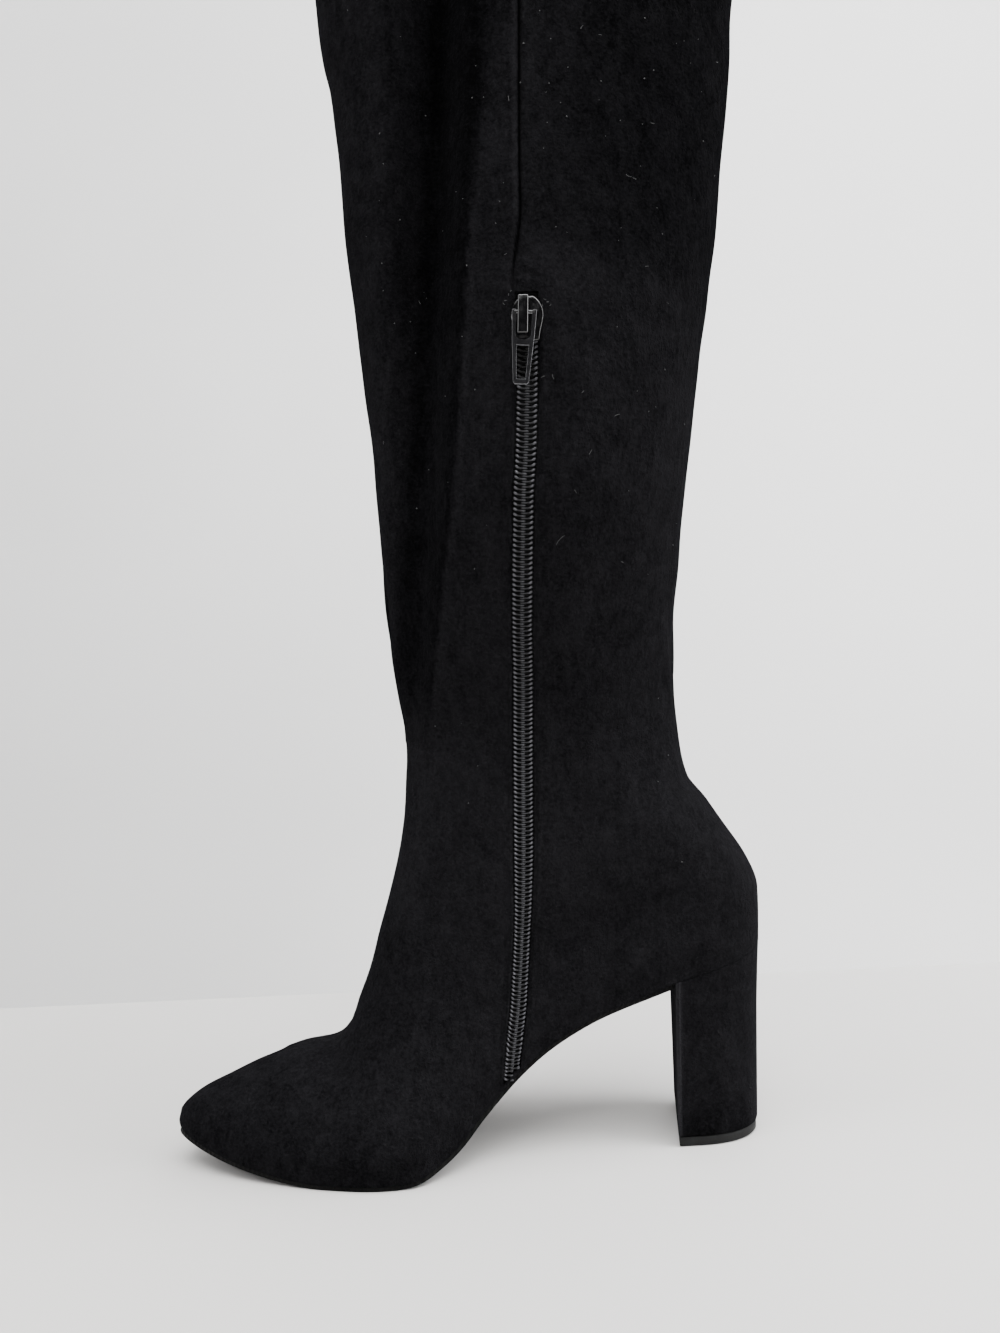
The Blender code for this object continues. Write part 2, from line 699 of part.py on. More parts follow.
def plate(rows, front, back):
    """A flat plate from rows of (height, half width), between two depths."""
    right = [(half, z) for z, half in rows]
    outline = right + [(-x, z) for x, z in reversed(right)]
    bm = bmesh.new()
    face = bm.faces.new([bm.verts.new((x, front, z)) for x, z in outline])
    grown = bmesh.ops.extrude_face_region(bm, geom=[face])
    moved = [item for item in grown["geom"] if isinstance(item, bmesh.types.BMVert)]
    bmesh.ops.translate(bm, verts=moved, vec=(0.0, back - front, 0.0))
    bmesh.ops.recalc_face_normals(bm, faces=bm.faces)
    return bm


def block(centre, size, bevel=0.0):
    """A box, with its edges broken by a bevel."""
    bm = bmesh.new()
    bmesh.ops.create_cube(bm, size=1.0)
    bmesh.ops.scale(bm, verts=bm.verts, vec=size)
    if bevel:
        bmesh.ops.bevel(bm, geom=bm.edges[:], offset=bevel, segments=1, profile=0.5,
                        affect="EDGES", material=-1)
    bmesh.ops.translate(bm, verts=bm.verts, vec=centre)
    return bm


def bar(centre, radius, length, sides):
    """A round bar along X."""
    bm = bmesh.new()
    bmesh.ops.create_cone(bm, cap_ends=True, segments=sides, radius1=radius, radius2=radius,
                          depth=length)
    bmesh.ops.rotate(bm, verts=bm.verts, cent=(0, 0, 0),
                     matrix=Matrix.Rotation(math.pi / 2, 3, "Y"))
    bmesh.ops.translate(bm, verts=bm.verts, vec=centre)
    return bm


def combine(target, tools):
    """Boolean modifiers on an object: tools are (object, operation) pairs, hidden as guides."""
    for tool, operation in tools:
        cut = target.modifiers.new(tool.name, "BOOLEAN")
        cut.operation = operation
        cut.object = tool
        cut.solver = "EXACT"
        tool.hide_render = True
        tool.display_type = "WIRE"


def make_slider(look):
    """Front plate, hidden plate, the neck that joins them and the bridge for the tab."""
    frame = zip_frame(SLIDER_Z)
    front = -PLATE_LIFT
    top = front - PLATE_THICK
    slider = finish(plate(SLIDER_OUTLINE, top, front), "zip_slider", look, frame)
    neck_depth = BACK_PLATE_DEPTH[1] - front
    neck = block((0.0, front + neck_depth / 2 - SUNK, NECK_UP),
                 (2 * NECK_HALF, neck_depth, NECK_LONG))
    hidden_mid = (BACK_PLATE_DEPTH[0] + BACK_PLATE_DEPTH[1]) / 2
    hidden = block((0.0, hidden_mid, 0.0),
                   (2 * BACK_PLATE_HALF, BACK_PLATE_DEPTH[1] - BACK_PLATE_DEPTH[0],
                    BACK_PLATE_LONG))
    rise = CROWN_RISE + SUNK
    crown = block((0.0, top + SUNK - rise / 2, CROWN_MIDDLE),
                  (2 * CROWN_HALF, rise, CROWN_LONG), bevel=CROWN_BEVEL)
    tunnel = bar((0.0, hinge_depth(), HINGE_UP), TUNNEL_RADIUS, 4 * CROWN_HALF, ROUND_SIDES)
    joined = [(finish(crown, "crown_shape", look, frame), "UNION"),
              (finish(neck, "neck_shape", look, frame), "UNION"),
              (finish(hidden, "hidden_plate_shape", look, frame), "UNION"),
              (finish(tunnel, "tunnel_cutter", look, frame), "DIFFERENCE")]
    combine(slider, joined)


def hinge_depth():
    """How far over the suede the tab's bar lies, as a depth."""
    return -PLATE_LIFT - PLATE_THICK - TUNNEL_RADIUS - CROWN_FLOOR


def hanging_frame():
    """The tab's frame at rest: X along its bar, and its plate plumb under the bar."""
    hinge = zip_frame(SLIDER_Z) @ Matrix.Translation(Vector((0.0, hinge_depth(), HINGE_UP)) * MM)
    along = (hinge @ Matrix.Rotation(math.radians(TAB_TURN), 4, "Y")).col[0].to_3d()
    inward = Vector((0.0, 0.0, 1.0)).cross(along).normalized()
    turn = Matrix((along, inward, along.cross(inward))).transposed().to_4x4()
    return Matrix.Translation(hinge.translation) @ turn


def make_pull(look):
    """The tab: a tapered plate with an eye round the crown, a window and its bar."""
    frame = hanging_frame()
    half = TAB_THICK / 2
    rows = [(-down, width) for down, width in TAB_OUTLINE]
    pull = finish(plate(rows, -half, half), "zip_pull", look, frame)
    eye_rows = [(-down, width) for down, width in TAB_EYE]
    window_rows = [(-down, width) for down, width in TAB_WINDOW]
    eye_half = TAB_EYE[0][1]
    above = block((0.0, 0.0, 0.0), (2 * eye_half, 2 * TAB_THICK, -2 * TAB_OUTLINE[0][0]))
    tools = [(finish(plate(eye_rows, -TAB_THICK, TAB_THICK), "eye_cutter", look, frame),
              "DIFFERENCE"),
             (finish(above, "bar_relief_cutter", look, frame), "DIFFERENCE"),
             (finish(plate(window_rows, -TAB_THICK, TAB_THICK), "window_cutter", look, frame),
              "DIFFERENCE"),
             (finish(bar((0.0, 0.0, 0.0), HINGE_RADIUS, 2 * (eye_half + BAR_SEAT), ROUND_SIDES),
                     "bar_shape", look, frame), "UNION")]
    combine(pull, tools)


def main():
    clear_scene()
    suede = material("suede", (0.012, 0.012, 0.014), 0.9)
    sole_rubber = material("sole_rubber", (0.02, 0.02, 0.02), 0.6)
    top_rubber = material("top_rubber", (0.05, 0.05, 0.05), 0.6)
    insole_lining = material("insole_lining", (0.03, 0.03, 0.03), 0.8)
    tape = material("zip_tape", (0.01, 0.01, 0.012), 0.9)
    coil = material("zip_coil", (0.05, 0.05, 0.055), 0.3)
    make_upper(suede)
    sole_sheet("outsole", sole_rubber, SOLE_INSET, -CURVED_GAP, SOLE_THICK, outsole_share)
    insole_lift = WALL + INSOLE_SEAT_GAP + INSOLE_THICK
    sole_sheet("insole", insole_lining, INSOLE_INSET, insole_lift, INSOLE_THICK, insole_share)
    make_heel(suede, top_rubber)
    make_zip_strips(tape, coil)
    gunmetal = material("slider_metal", (0.03, 0.03, 0.033), 0.25, 0.9)
    make_slider(gunmetal)
    make_pull(gunmetal)


main()
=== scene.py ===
# %% [markdown]
# # Dressing an over-the-knee boot
# The boot is already built as plain solids: a hollow wall, a sole, a heel and a zip. This script
# gives it its looks. It loads those solids as a fixed frame, repeats the shape of the last in a
# much finer grid, and lays napped cloth, seams, a coil zip and a heel cover on it.
# All tables are in millimetres, and each finished piece is scaled to metres at the end.

# %% Load the frame
import json
import math

import bmesh
import bpy
import numpy as np
from mathutils import Matrix, Vector


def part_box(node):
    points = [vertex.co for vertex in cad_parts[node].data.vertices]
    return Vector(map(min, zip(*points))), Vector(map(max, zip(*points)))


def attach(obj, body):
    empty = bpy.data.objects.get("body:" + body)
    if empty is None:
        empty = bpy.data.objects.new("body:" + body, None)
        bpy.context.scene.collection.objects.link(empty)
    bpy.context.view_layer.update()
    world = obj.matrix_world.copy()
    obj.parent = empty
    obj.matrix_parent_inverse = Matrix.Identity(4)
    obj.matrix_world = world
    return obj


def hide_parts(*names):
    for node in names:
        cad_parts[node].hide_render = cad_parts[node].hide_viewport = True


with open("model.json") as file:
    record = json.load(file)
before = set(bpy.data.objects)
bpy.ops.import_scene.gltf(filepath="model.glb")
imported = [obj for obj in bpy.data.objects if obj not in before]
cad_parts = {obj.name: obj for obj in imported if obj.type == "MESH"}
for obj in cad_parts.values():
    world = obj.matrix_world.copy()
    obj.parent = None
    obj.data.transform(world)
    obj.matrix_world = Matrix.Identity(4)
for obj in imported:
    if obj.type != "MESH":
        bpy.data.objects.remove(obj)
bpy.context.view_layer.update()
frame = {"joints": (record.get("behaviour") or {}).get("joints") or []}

MM = 0.001

# %% [markdown]
# ## The shape of the last
# A boot has no simple outline: from the side it is two curves, from above it is an almond, and the
# leg is an oval that changes with height. So the shape is held in short tables with named columns,
# and a smooth curve runs through the rows of each. The curve never overshoots a row, which keeps
# a straight shin straight.

# %% Tables with smooth columns


class Table:
    """Rows of numbers with named columns. The first column is the key."""

    def __init__(self, columns, *rows):
        ordered = np.array(sorted(rows))
        self.keys = ordered[:, 0]
        self.columns = dict(zip(columns.split(), ordered.T))

    def smooth(self, column, key):
        """Values of a column at an array of keys, on a smooth curve through the rows."""
        keys = self.keys
        values = self.columns[column]
        key = np.clip(key, keys[0], keys[-1])
        i = np.clip(np.searchsorted(keys, key, side="right") - 1, 0, len(keys) - 2)
        slopes = np.diff(values) / np.diff(keys)
        low = np.concatenate((slopes[:1], slopes))
        high = np.concatenate((slopes, slopes[-1:]))
        same = low * high > 0
        tangents = np.where(same, 2 * low * high / np.where(same, low + high, 1.0), 0.0)
        step = keys[i + 1] - keys[i]
        t = (key - keys[i]) / step
        start = (2 * t - 3) * t * t + 1
        return (start * values[i] + (1 - start) * values[i + 1]
                + step * t * (1 - t) * ((1 - t) * tangents[i] - t * tangents[i + 1]))


hill = Table("x y", (0.0, 0.0), (1.0, 1.0), (2.0, 0.0))
print("half way up a hill of 1, the curve is at", round(float(hill.smooth("y", 0.5)), 3))

# %% Sizes of the boot
TOE_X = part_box("upper")[0].x / MM
COLLAR_Z = 620.0
ANKLE_Z = 175.0                # the sections start to fan here, about (FAN_X, ANKLE_Z)
FAN_X = -172.5
HEEL_X = 20.7                  # rearmost point of the heel seat
BREAST_X = -18.5               # front face of the heel at the seat
SOLE_THICK = 2.0
CURVED_GAP = 0.6
BALL_FLAT = (-155.5, -127.5)   # the forefoot touches the floor between these stations
TOE_SPRING = 12.0
TOE_SPRING_POWER = 1.7
SEAT_SLOPE = 0.28              # rise of the heel seat towards the back
print("the foot is", round(HEEL_X - TOE_X, 1), "mm long and the collar is at", COLLAR_Z)

# %% Front and back line
FRONT_LINE = (                 # points (x, z) of the front silhouette, collar to toe tip
    (-159.0, 620.0), (-157.0, 560.0), (-154.5, 500.0), (-151.9, 460.0),
    (-150.3, 440.0), (-148.9, 430.0), (-146.3, 419.0), (-144.3, 400.0),
    (-141.9, 360.0), (-137.6, 320.0), (-133.3, 280.0), (-130.3, 240.0),
    (-127.3, 200.0), (-123.9, 175.0), (-122.3, 150.0), (-123.7, 128.0),
    (-128.1, 107.0), (-133.7, 87.0), (-139.5, 67.0), (-143.0, 58.4),
    (-147.6, 47.0), (-154.5, 42.6), (-163.5, 41.2), (-174.5, 37.8),
    (-185.5, 34.0), (-195.5, 30.0), (-204.5, 26.6), (-209.5, 23.6),
    (-212.5, 20.4), (-213.5, 16.0),
)
BACK_LINE = Table(
    "z x",
    (620.0, 22.1), (560.0, 21.1), (500.0, 19.3), (462.0, 17.1),
    (430.0, 14.1), (400.0, 10.7), (360.0, 5.9), (320.0, 0.3),
    (280.0, -5.6), (240.0, -10.1), (205.0, -13.1), (178.0, -12.7),
    (160.0, -10.9), (145.5, -7.7), (134.0, 0.9), (123.0, 8.1),
    (112.0, 14.5), (101.0, 19.3), (91.0, 21.5), (82.5, 20.9), (76.0, 20.7),
)
print("front line of", len(FRONT_LINE), "points, back line of", len(BACK_LINE.keys))

# %% Widths of the leg and outline of the sole
LEVELS = Table(                # widths of the leg and the line where both sides meet
    "z medial lateral parting back_round",
    (620.0, 46.0, 39.0, -3.0, 83.0),
    (540.0, 45.0, 37.0, -4.0, 80.0),
    (460.0, 46.0, 35.0, -5.0, 77.0),
    (420.0, 49.0, 35.0, -6.0, 75.0),
    (380.0, 53.0, 36.0, -7.0, 72.0),
    (340.0, 57.0, 37.0, -8.0, 67.0),
    (300.0, 59.5, 38.0, -8.0, 62.0),
    (260.0, 57.5, 38.0, -7.5, 59.0),
    (220.0, 48.0, 35.5, -6.0, 56.0),
    (190.0, 39.0, 32.0, -4.0, 54.0),
    (165.0, 33.5, 29.5, -2.0, 50.0),
    (140.0, 32.0, 29.0, -1.0, 42.0),
    (110.0, 31.0, 29.0, 0.0, 34.0),
    (80.0, 29.0, 28.5, 0.0, 29.0),
    (40.0, 29.0, 29.0, 0.0, 28.0),
)
OUTLINE = Table(               # the sole's outline, and the line in the middle of the toe
    "x medial lateral middle",
    (-213.5, 40.4, 42.0, -6.0),
    (-187.5, 40.4, 42.0, -3.4),
    (-160.5, 40.4, 42.0, 0.0),
    (-137.5, 40.6, 42.0, 0.5),
    (-123.5, 40.2, 41.4, 1.0),
    (-109.5, 33.8, 39.6, 1.5),
    (-95.5, 27.0, 36.6, 2.0),
    (-77.5, 24.4, 32.4, 1.5),
    (-52.5, 23.6, 28.6, 1.0),
    (-18.5, 24.8, 26.2, 0.3),
    (20.7, 25.4, 25.8, 0.0),
)
TOE_ROUND = (80.0, 1.55)       # reach and power of the almond toe
HEEL_ROUND = (28.0, 2.15)      # reach and power of the round heel seat
OUTLINE_BLEND = (4.0, 60.0)    # heights over the feather edge where outline turns into level
BULGE = 1.6                    # the wall swells over the feather edge
BULGE_HEIGHT = 9.0
print("leg measured at", len(LEVELS.keys), "heights, sole at", len(OUTLINE.keys), "stations")

# %% Waist, ridge, rings, fold and zip line
WAIST = Table(                 # underside of the waist, from the ball to the heel breast
    "x z",
    (-127.5, 0.0), (-119.5, 1.2), (-111.5, 4.4), (-103.5, 9.6), (-95.5, 17.6),
    (-87.5, 25.8), (-79.5, 33.4), (-69.5, 41.4), (-57.5, 48.6), (-47.5, 53.4),
    (-37.5, 57.3), (-27.5, 60.9), (-18.5, 64.2),
)
RIDGE = Table(                 # how deep the ridge in front is rounded, by fan station
    "station depth power",
    (445.0, 100.0, 2.0), (285.0, 93.0, 2.0), (205.0, 82.0, 2.0), (125.0, 74.0, 2.0),
    (65.0, 66.0, 2.0), (0.0, 60.0, 2.0), (-30.0, 58.0, 2.0), (-50.0, 55.0, 2.0),
    (-65.0, 50.0, 2.0), (-80.0, 43.0, 2.05), (-90.0, 37.0, 2.1), (-100.0, 31.0, 2.1),
    (-113.0, 22.0, 2.1), (-122.0, 14.0, 2.1), (-128.0, 8.5, 2.1), (-131.0, 4.5, 2.0),
)
RINGS = Table(                 # rings of the wall, named by their level at the back
    "back_z front_station sag",
    (620.0, 445.0, 0.00), (400.0, 225.0, 0.00), (200.0, 25.0, 0.00),
    (175.0, 0.0, 0.00), (163.0, -14.0, 0.02), (152.0, -27.0, 0.05), (143.0, -39.0, 0.10),
    (134.0, -50.0, 0.16), (125.0, -60.0, 0.24), (116.0, -69.0, 0.33), (109.5, -75.5, 0.38),
    (105.5, -80.5, 0.40), (101.0, -87.0, 0.53), (95.0, -98.0, 0.67), (90.0, -110.0, 0.79),
    (86.0, -120.5, 0.895), (83.0, -128.0, 0.96), (80.4, -131.0, 1.00),
)
FEATHER_LEVEL = RINGS.keys[0]
FOLD = Table(                  # the long slack fold: its valley, its crest and its depth
    "z valley_x crest_x depth",
    (620.0, -101.5, -88.5, 3.0), (540.0, -101.5, -88.8, 8.0), (460.0, -102.0, -89.6, 14.0),
    (420.0, -103.5, -91.4, 16.0), (363.0, -106.5, -95.0, 17.0), (327.0, -108.5, -97.2, 17.0),
    (290.0, -110.6, -100.0, 16.0), (254.0, -112.8, -103.3, 14.0), (216.0, -115.6, -107.9, 10.0),
    (190.0, -117.3, -110.8, 6.5), (165.0, -119.2, -113.9, 2.5), (143.0, -121.5, -117.5, 0.0),
)
FOLD_REACH = 22.0              # the front lobe falls into the valley over this length
ZIP_LINE = Table(              # where the zip, and the seam above it, run in the side view
    "z x",
    (620.0, -74.5), (540.0, -74.3), (460.0, -74.2), (423.0, -75.0), (352.0, -76.6),
    (318.0, -75.6), (270.0, -76.8), (248.0, -78.0), (214.0, -78.2), (178.0, -77.6),
    (140.0, -77.9), (102.0, -78.6), (63.0, -80.6), (48.0, -82.4), (34.0, -83.8),
    (20.0, -85.0),
)

# %% [markdown]
# ## From tables to points
# Down to the ankle the leg is sliced level. Below it the slices fan out like a hand of cards, from
# level at the ankle to upright at the toe, so each slice stays square to the foot. A ring of the
# wall starts on the front line at one card of the fan and ends on the back line.
# Every function takes whole arrays, because the fine skin has tens of thousands of points.

# %% Side view


def ease(t):
    """Soft step from 0 to 1."""
    t = np.clip(t, 0.0, 1.0)
    return t * t * (3 - 2 * t)


def rounding(share, power):
    """Quarter of a superellipse: 0 at the edge, 1 from share 1 on."""
    share = np.clip(share, 0.0, 1.0)
    return (1 - (1 - share) ** power) ** (1 / power)


def fan_station(x, z):
    """Section through points of the side view, and the distance along that section."""
    drop = ANKLE_Z - z
    past = x - FAN_X
    station = np.where(past > 0, -np.degrees(np.arctan2(drop, past)), past - 90.0)
    reach = np.where(past > 0, np.hypot(drop, past), drop)
    return np.where(drop <= 0, -drop, station), np.where(drop <= 0, past, reach)


FRONT_FAN = Table("station reach", *(tuple(map(float, fan_station(x, z))) for x, z in FRONT_LINE))


def front_point(station):
    """Points of the front line at fan stations."""
    reach = FRONT_FAN.smooth("reach", station)
    angle = np.radians(np.clip(-station, 0.0, 90.0))
    x = FAN_X + np.where(station < -90.0, 90.0 + station, reach * np.cos(angle))
    z = ANKLE_Z + np.where(station > 0, station, -reach * np.sin(angle))
    return x, z


def sole_bottom(x):
    """Height of the outsole's walking face."""
    spring = TOE_SPRING * np.clip((BALL_FLAT[0] - x) / (BALL_FLAT[0] - TOE_X), 0, 1) ** TOE_SPRING_POWER
    waist = WAIST.smooth("z", x) + SEAT_SLOPE * np.maximum(x - BREAST_X, 0.0)
    return np.where(x < BALL_FLAT[0], spring, np.where(x < BALL_FLAT[1], 0.0, waist))


def squared(x, distance):
    """Upright height of a distance that is measured square to the sloping sole."""
    slope = (sole_bottom(x + 1.0) - sole_bottom(x - 1.0)) / 2.0
    return distance * np.hypot(1.0, slope)


def underside(x):
    """Height of the upper's turned-in margin."""
    return sole_bottom(x) + squared(x, SOLE_THICK + CURVED_GAP)


CORNER = 2.5                   # radius where the wall turns under the sole


def feather(x):
    """Height where the wall starts to turn under."""
    return underside(x) + CORNER


toe_rise, seat_rise = (round(float(sole_bottom(x)), 1) for x in (TOE_X, HEEL_X))
print("the sole rises to", toe_rise, "mm at the toe and", seat_rise, "mm at the back of the seat")

# %% Widths and the slack fold


def fold_depth(x, z):
    """How far the slack fold sinks the inner side."""
    valley = FOLD.smooth("valley_x", z)
    crest = FOLD.smooth("crest_x", z)
    share = np.where(x > valley, ease((crest - x) / (crest - valley)),
                     ease((x - valley + FOLD_REACH) / FOLD_REACH))
    return FOLD.smooth("depth", z) * share


def by_side(table, key, side):
    """The medial column where side is -1, the lateral column where it is +1."""
    return np.where(side < 0, table.smooth("medial", key), table.smooth("lateral", key))


def side_y(x, z, side):
    """Sideways place of the outer face. side is -1 inside the leg, +1 outside."""
    lift = z - feather(x)
    share = ease((lift - OUTLINE_BLEND[0]) / (OUTLINE_BLEND[1] - OUTLINE_BLEND[0]))
    low_round = (rounding((x - TOE_X) / TOE_ROUND[0], TOE_ROUND[1])
                 * rounding((HEEL_X - x) / HEEL_ROUND[0], HEEL_ROUND[1]))
    high_round = rounding((BACK_LINE.smooth("x", z) - x) / LEVELS.smooth("back_round", z), 2.0)
    up = np.maximum(lift, 0.0) / BULGE_HEIGHT
    low = by_side(OUTLINE, x, side) + BULGE * up * np.exp(1 - up)
    width = low + (by_side(LEVELS, z, side) - low) * share
    middle = OUTLINE.smooth("middle", x)
    middle = middle + (LEVELS.smooth("parting", z) - middle) * share
    station, reach = fan_station(x, z)
    depth = (reach - FRONT_FAN.smooth("reach", station)) / RIDGE.smooth("depth", station)
    ridge = rounding(depth, RIDGE.smooth("power", station))
    round_all = (low_round + (high_round - low_round) * share) * ridge
    return middle + (side * width - middle) * round_all + np.where(side < 0, fold_depth(x, z), 0.0)


print("the slack fold sinks up to", FOLD.columns["depth"].max(), "mm")

# %% Rings of the wall


def ring_place(level, share):
    """Side view of rings: x and z at shares of their length, from front 0 to back 1."""
    front_x, front_z = front_point(RINGS.smooth("front_station", level))
    back_x = BACK_LINE.smooth("x", level)
    x = front_x + (back_x - front_x) * share
    straight = front_z + (level - front_z) * share
    edge = feather(TOE_X + (HEEL_X - TOE_X) * share)
    edge_straight = feather(TOE_X) + (feather(HEEL_X) - feather(TOE_X)) * share
    return x, straight + RINGS.smooth("sag", level) * (edge - edge_straight)


def ring_point(level, share, side):
    """Points of the outer face on rings, with x, y and z along the last axis."""
    x, z = ring_place(level, share)
    return np.stack(np.broadcast_arrays(x, side_y(x, z, side), z), axis=-1)


def length_of(vectors):
    """Lengths along the last axis, kept as an axis of one."""
    return np.linalg.norm(vectors, axis=-1, keepdims=True)


AXIS_START = TOE_X + 18.0      # the sole's middle line, which insets move towards, stops short of
AXIS_END = HEEL_X - 24.0       # the toe and of the heel
BALL_PLACE = (-137.5, 9.0)     # the widest part of the foot, in the side view


def inset_points(edge, inset, rise):
    """Feather-edge points moved in towards the sole's middle, at a height over the margin."""
    axis_x = np.clip(edge[..., 0], AXIS_START, AXIS_END)
    axis = np.stack((axis_x, OUTLINE.smooth("middle", axis_x)), axis=-1)
    flat = edge[..., :2]
    inward = (axis - flat) / length_of(axis - flat)
    flat = flat + inward * np.asarray(inset)[..., None]
    x = flat[..., 0]
    return np.concatenate((flat, (underside(x) + squared(x, rise))[..., None]), axis=-1)


def outline_points(share, side, inset, rise):
    """Points of the sole's outline at shares of its length."""
    edge = ring_point(FEATHER_LEVEL, share, side)
    return inset_points(edge, np.broadcast_to(inset, edge.shape[:-1]), rise)


ball_width = side_y(*BALL_PLACE, 1.0) - side_y(*BALL_PLACE, -1.0)
print("ball of the foot is", round(float(ball_width), 1), "mm wide")

# %% [markdown]
# ## A straight zip, laid on a bent leg
# A zip is easiest to model straight: X across it, Y up it and Z out of the leg. The boot's wall is
# bent, so each point of the straight zip is then carried to the wall, as a strip of tape would be.
# To do that, the zip's middle line is measured, and a height along it is turned into a ring level.

# %% The zip's middle line
SLOT_HALF = 4.1
SLOT_TOP_Z = 322.4
SLIDER_Z = 312.4
ZIP_SEARCH = (0.2, 0.8)        # the zip crosses every ring between these shares
HALVINGS = 26
SHARE_STEP = 0.004             # small step along a ring, to measure its direction
ZIP_NARROWS = (120.0, 30.0, 0.15)      # below this height, over this length, it narrows by this share
TAIL_TURN = 0.35               # past its foot the zip's line turns in under the sole


def zip_share(level):
    """Share of each ring where the zip, or the seam over it, crosses it."""
    low = np.full_like(level, ZIP_SEARCH[0])
    high = np.full_like(level, ZIP_SEARCH[1])
    for _ in range(HALVINGS):
        middle = (low + high) / 2
        x, z = ring_place(level, middle)
        before = x < ZIP_LINE.smooth("x", z)
        low = np.where(before, middle, low)
        high = np.where(before, high, middle)
    return low


def ring_along(level, share, side, step=SHARE_STEP):
    """Way along rings to the back, over a step of share each way."""
    return ring_point(level, share + step, side) - ring_point(level, share - step, side)


def zip_axes(level):
    """Share, shares per mm across, middle point, outward and upward direction of the zip at levels."""
    share = zip_share(level)
    here = ring_point(level, share, -1.0)
    along = ring_along(level, share, -1.0)
    upper = np.minimum(level + 1.5, COLLAR_Z)
    lower = np.maximum(level - 1.5, FEATHER_LEVEL)
    up = ring_point(upper, zip_share(upper), -1.0) - ring_point(lower, zip_share(lower), -1.0)
    up = up / length_of(up)
    per_mm = 1.0 / length_of(np.cross(along / (2 * SHARE_STEP), up))
    outward = np.cross(along, up)
    return share, per_mm[..., 0], here, outward / length_of(outward), up


ZIP_LEVELS = np.concatenate((np.linspace(COLLAR_Z, ANKLE_Z, 180),
                             np.linspace(ANKLE_Z, FEATHER_LEVEL, 120)[1:]))
ZIP_SHARES, ZIP_PER_MM, ZIP_HERE, ZIP_OUT, ZIP_UP = zip_axes(ZIP_LEVELS)
narrow_from, narrow_over, narrower = ZIP_NARROWS
ZIP_PER_MM = ZIP_PER_MM * (1.0 - narrower * np.clip((narrow_from - ZIP_HERE[:, 2]) / narrow_over, 0.0, 1.0))
ZIP_RUN = np.concatenate(([0.0], np.cumsum(length_of(np.diff(ZIP_HERE, axis=0))[:, 0])))
slider_run = float(np.interp(-SLIDER_Z, -ZIP_HERE[:, 2], ZIP_RUN))
ZIP_Y = slider_run - ZIP_RUN   # height along the zip, from the slider's middle


def at_level(level, values):
    """Values that were measured along the zip, at ring levels."""
    return np.interp(-level, -ZIP_LEVELS, values)


def at_zip(height, values):
    """Values that were measured along the zip, at heights along it."""
    if values.ndim > 1:
        return np.stack([at_zip(height, column) for column in values.T], axis=-1)
    return np.interp(height, ZIP_Y[::-1], values[::-1])


print("the zip and the seam over it are", round(float(ZIP_RUN[-1])), "mm long together")

# %% Laying the straight zip on the leg


def lay_on_zip(points):
    """Carry points of the straight zip (across, up, out) to the wall of the boot."""
    across, height, out = points[:, 0], points[:, 1], points[:, 2]
    below = np.minimum(height - ZIP_Y[-1], 0.0)[:, None] * (ZIP_UP[-1] - TAIL_TURN * ZIP_OUT[-1])
    level = at_zip(height, ZIP_LEVELS)
    share = at_zip(height, ZIP_SHARES) + across * at_zip(height, ZIP_PER_MM)
    outward = np.cross(ring_along(level, share, -1.0, SHARE_STEP / 2), at_zip(height, ZIP_UP))
    return ring_point(level, share, -1.0) + outward / length_of(outward) * out[:, None] + below


ZIP_TOP_Y = float(np.interp(-SLOT_TOP_Z, -ZIP_HERE[:, 2], ZIP_Y))
edge_along = ring_along(ZIP_LEVELS, ZIP_SHARES, -1.0) / (2 * SHARE_STEP)
ZIP_SLOPE = (edge_along * ZIP_UP).sum(axis=1) * ZIP_PER_MM    # rise of a ring per mm across


def squared_up(points):
    """Undo the slope of the rings, so that a line across the zip stays square to it."""
    points = points.copy()
    points[:, 1] -= points[:, 0] * at_zip(points[:, 1], ZIP_SLOPE)
    return points


ZIP_END_Y = float(ZIP_Y[-1]) - 1.6        # the chain runs on into the turned edge of the suede
print("the slot runs", round(ZIP_TOP_Y - ZIP_END_Y), "mm along the leg, the slider at 0")

# %% [markdown]
# ## Tools for making pieces
# A piece is made as a bmesh in millimetres, scaled to metres, and handed to the frame: the body that
# it moves with, the material slot it belongs to and the solid that it stands for.

# %% Handing a piece over


def mesh_of(bm, name):
    """A mesh with the shape of a bmesh, which is freed."""
    mesh = bpy.data.meshes.new(name)
    bm.to_mesh(mesh)
    bm.free()
    return mesh


def put_in_scene(name, data):
    """A new object that shows a mesh, a light or a camera."""
    made = bpy.data.objects.new(name, data)
    bpy.context.scene.collection.objects.link(made)
    return made


def finish(bm, name, finish_look, body="boot", replaces=(), smooth=50.0):
    """Turn a bmesh in millimetres into a piece of the boot, in metres."""
    bmesh.ops.scale(bm, verts=bm.verts, vec=(MM, MM, MM))
    mesh = mesh_of(bm, name)
    mesh.shade_smooth()
    mesh.set_sharp_from_angle(angle=math.radians(smooth))
    mesh.materials.append(finish_look)
    piece = put_in_scene(name, mesh)
    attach(piece, body)
    if replaces:
        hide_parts(*replaces)
    print(name, "has", len(mesh.polygons), "faces")
    return piece


def thicken(piece, depth):
    """Give a sheet its thickness in millimetres, behind its face."""
    sheet = piece.modifiers.new("thickness", "SOLIDIFY")
    sheet.thickness = depth * MM
    sheet.offset = -1.0


# %% Moving, painting and joining


def paint_on(bm, name, paint):
    """Paint a value on every vertex: paint takes an array of points and gives their values."""
    layer = bm.verts.layers.float.new(name)
    for vert, value in zip(bm.verts, paint(np.array([vert.co for vert in bm.verts]))):
        vert[layer] = value
    return bm


def moved(bm, place):
    """Move all vertices at once: place takes and returns an array of points."""
    bm.verts.ensure_lookup_table()
    before = np.array([vert.co for vert in bm.verts])
    for vert, point in zip(bm.verts, place(before)):
        vert.co = point
    return bm


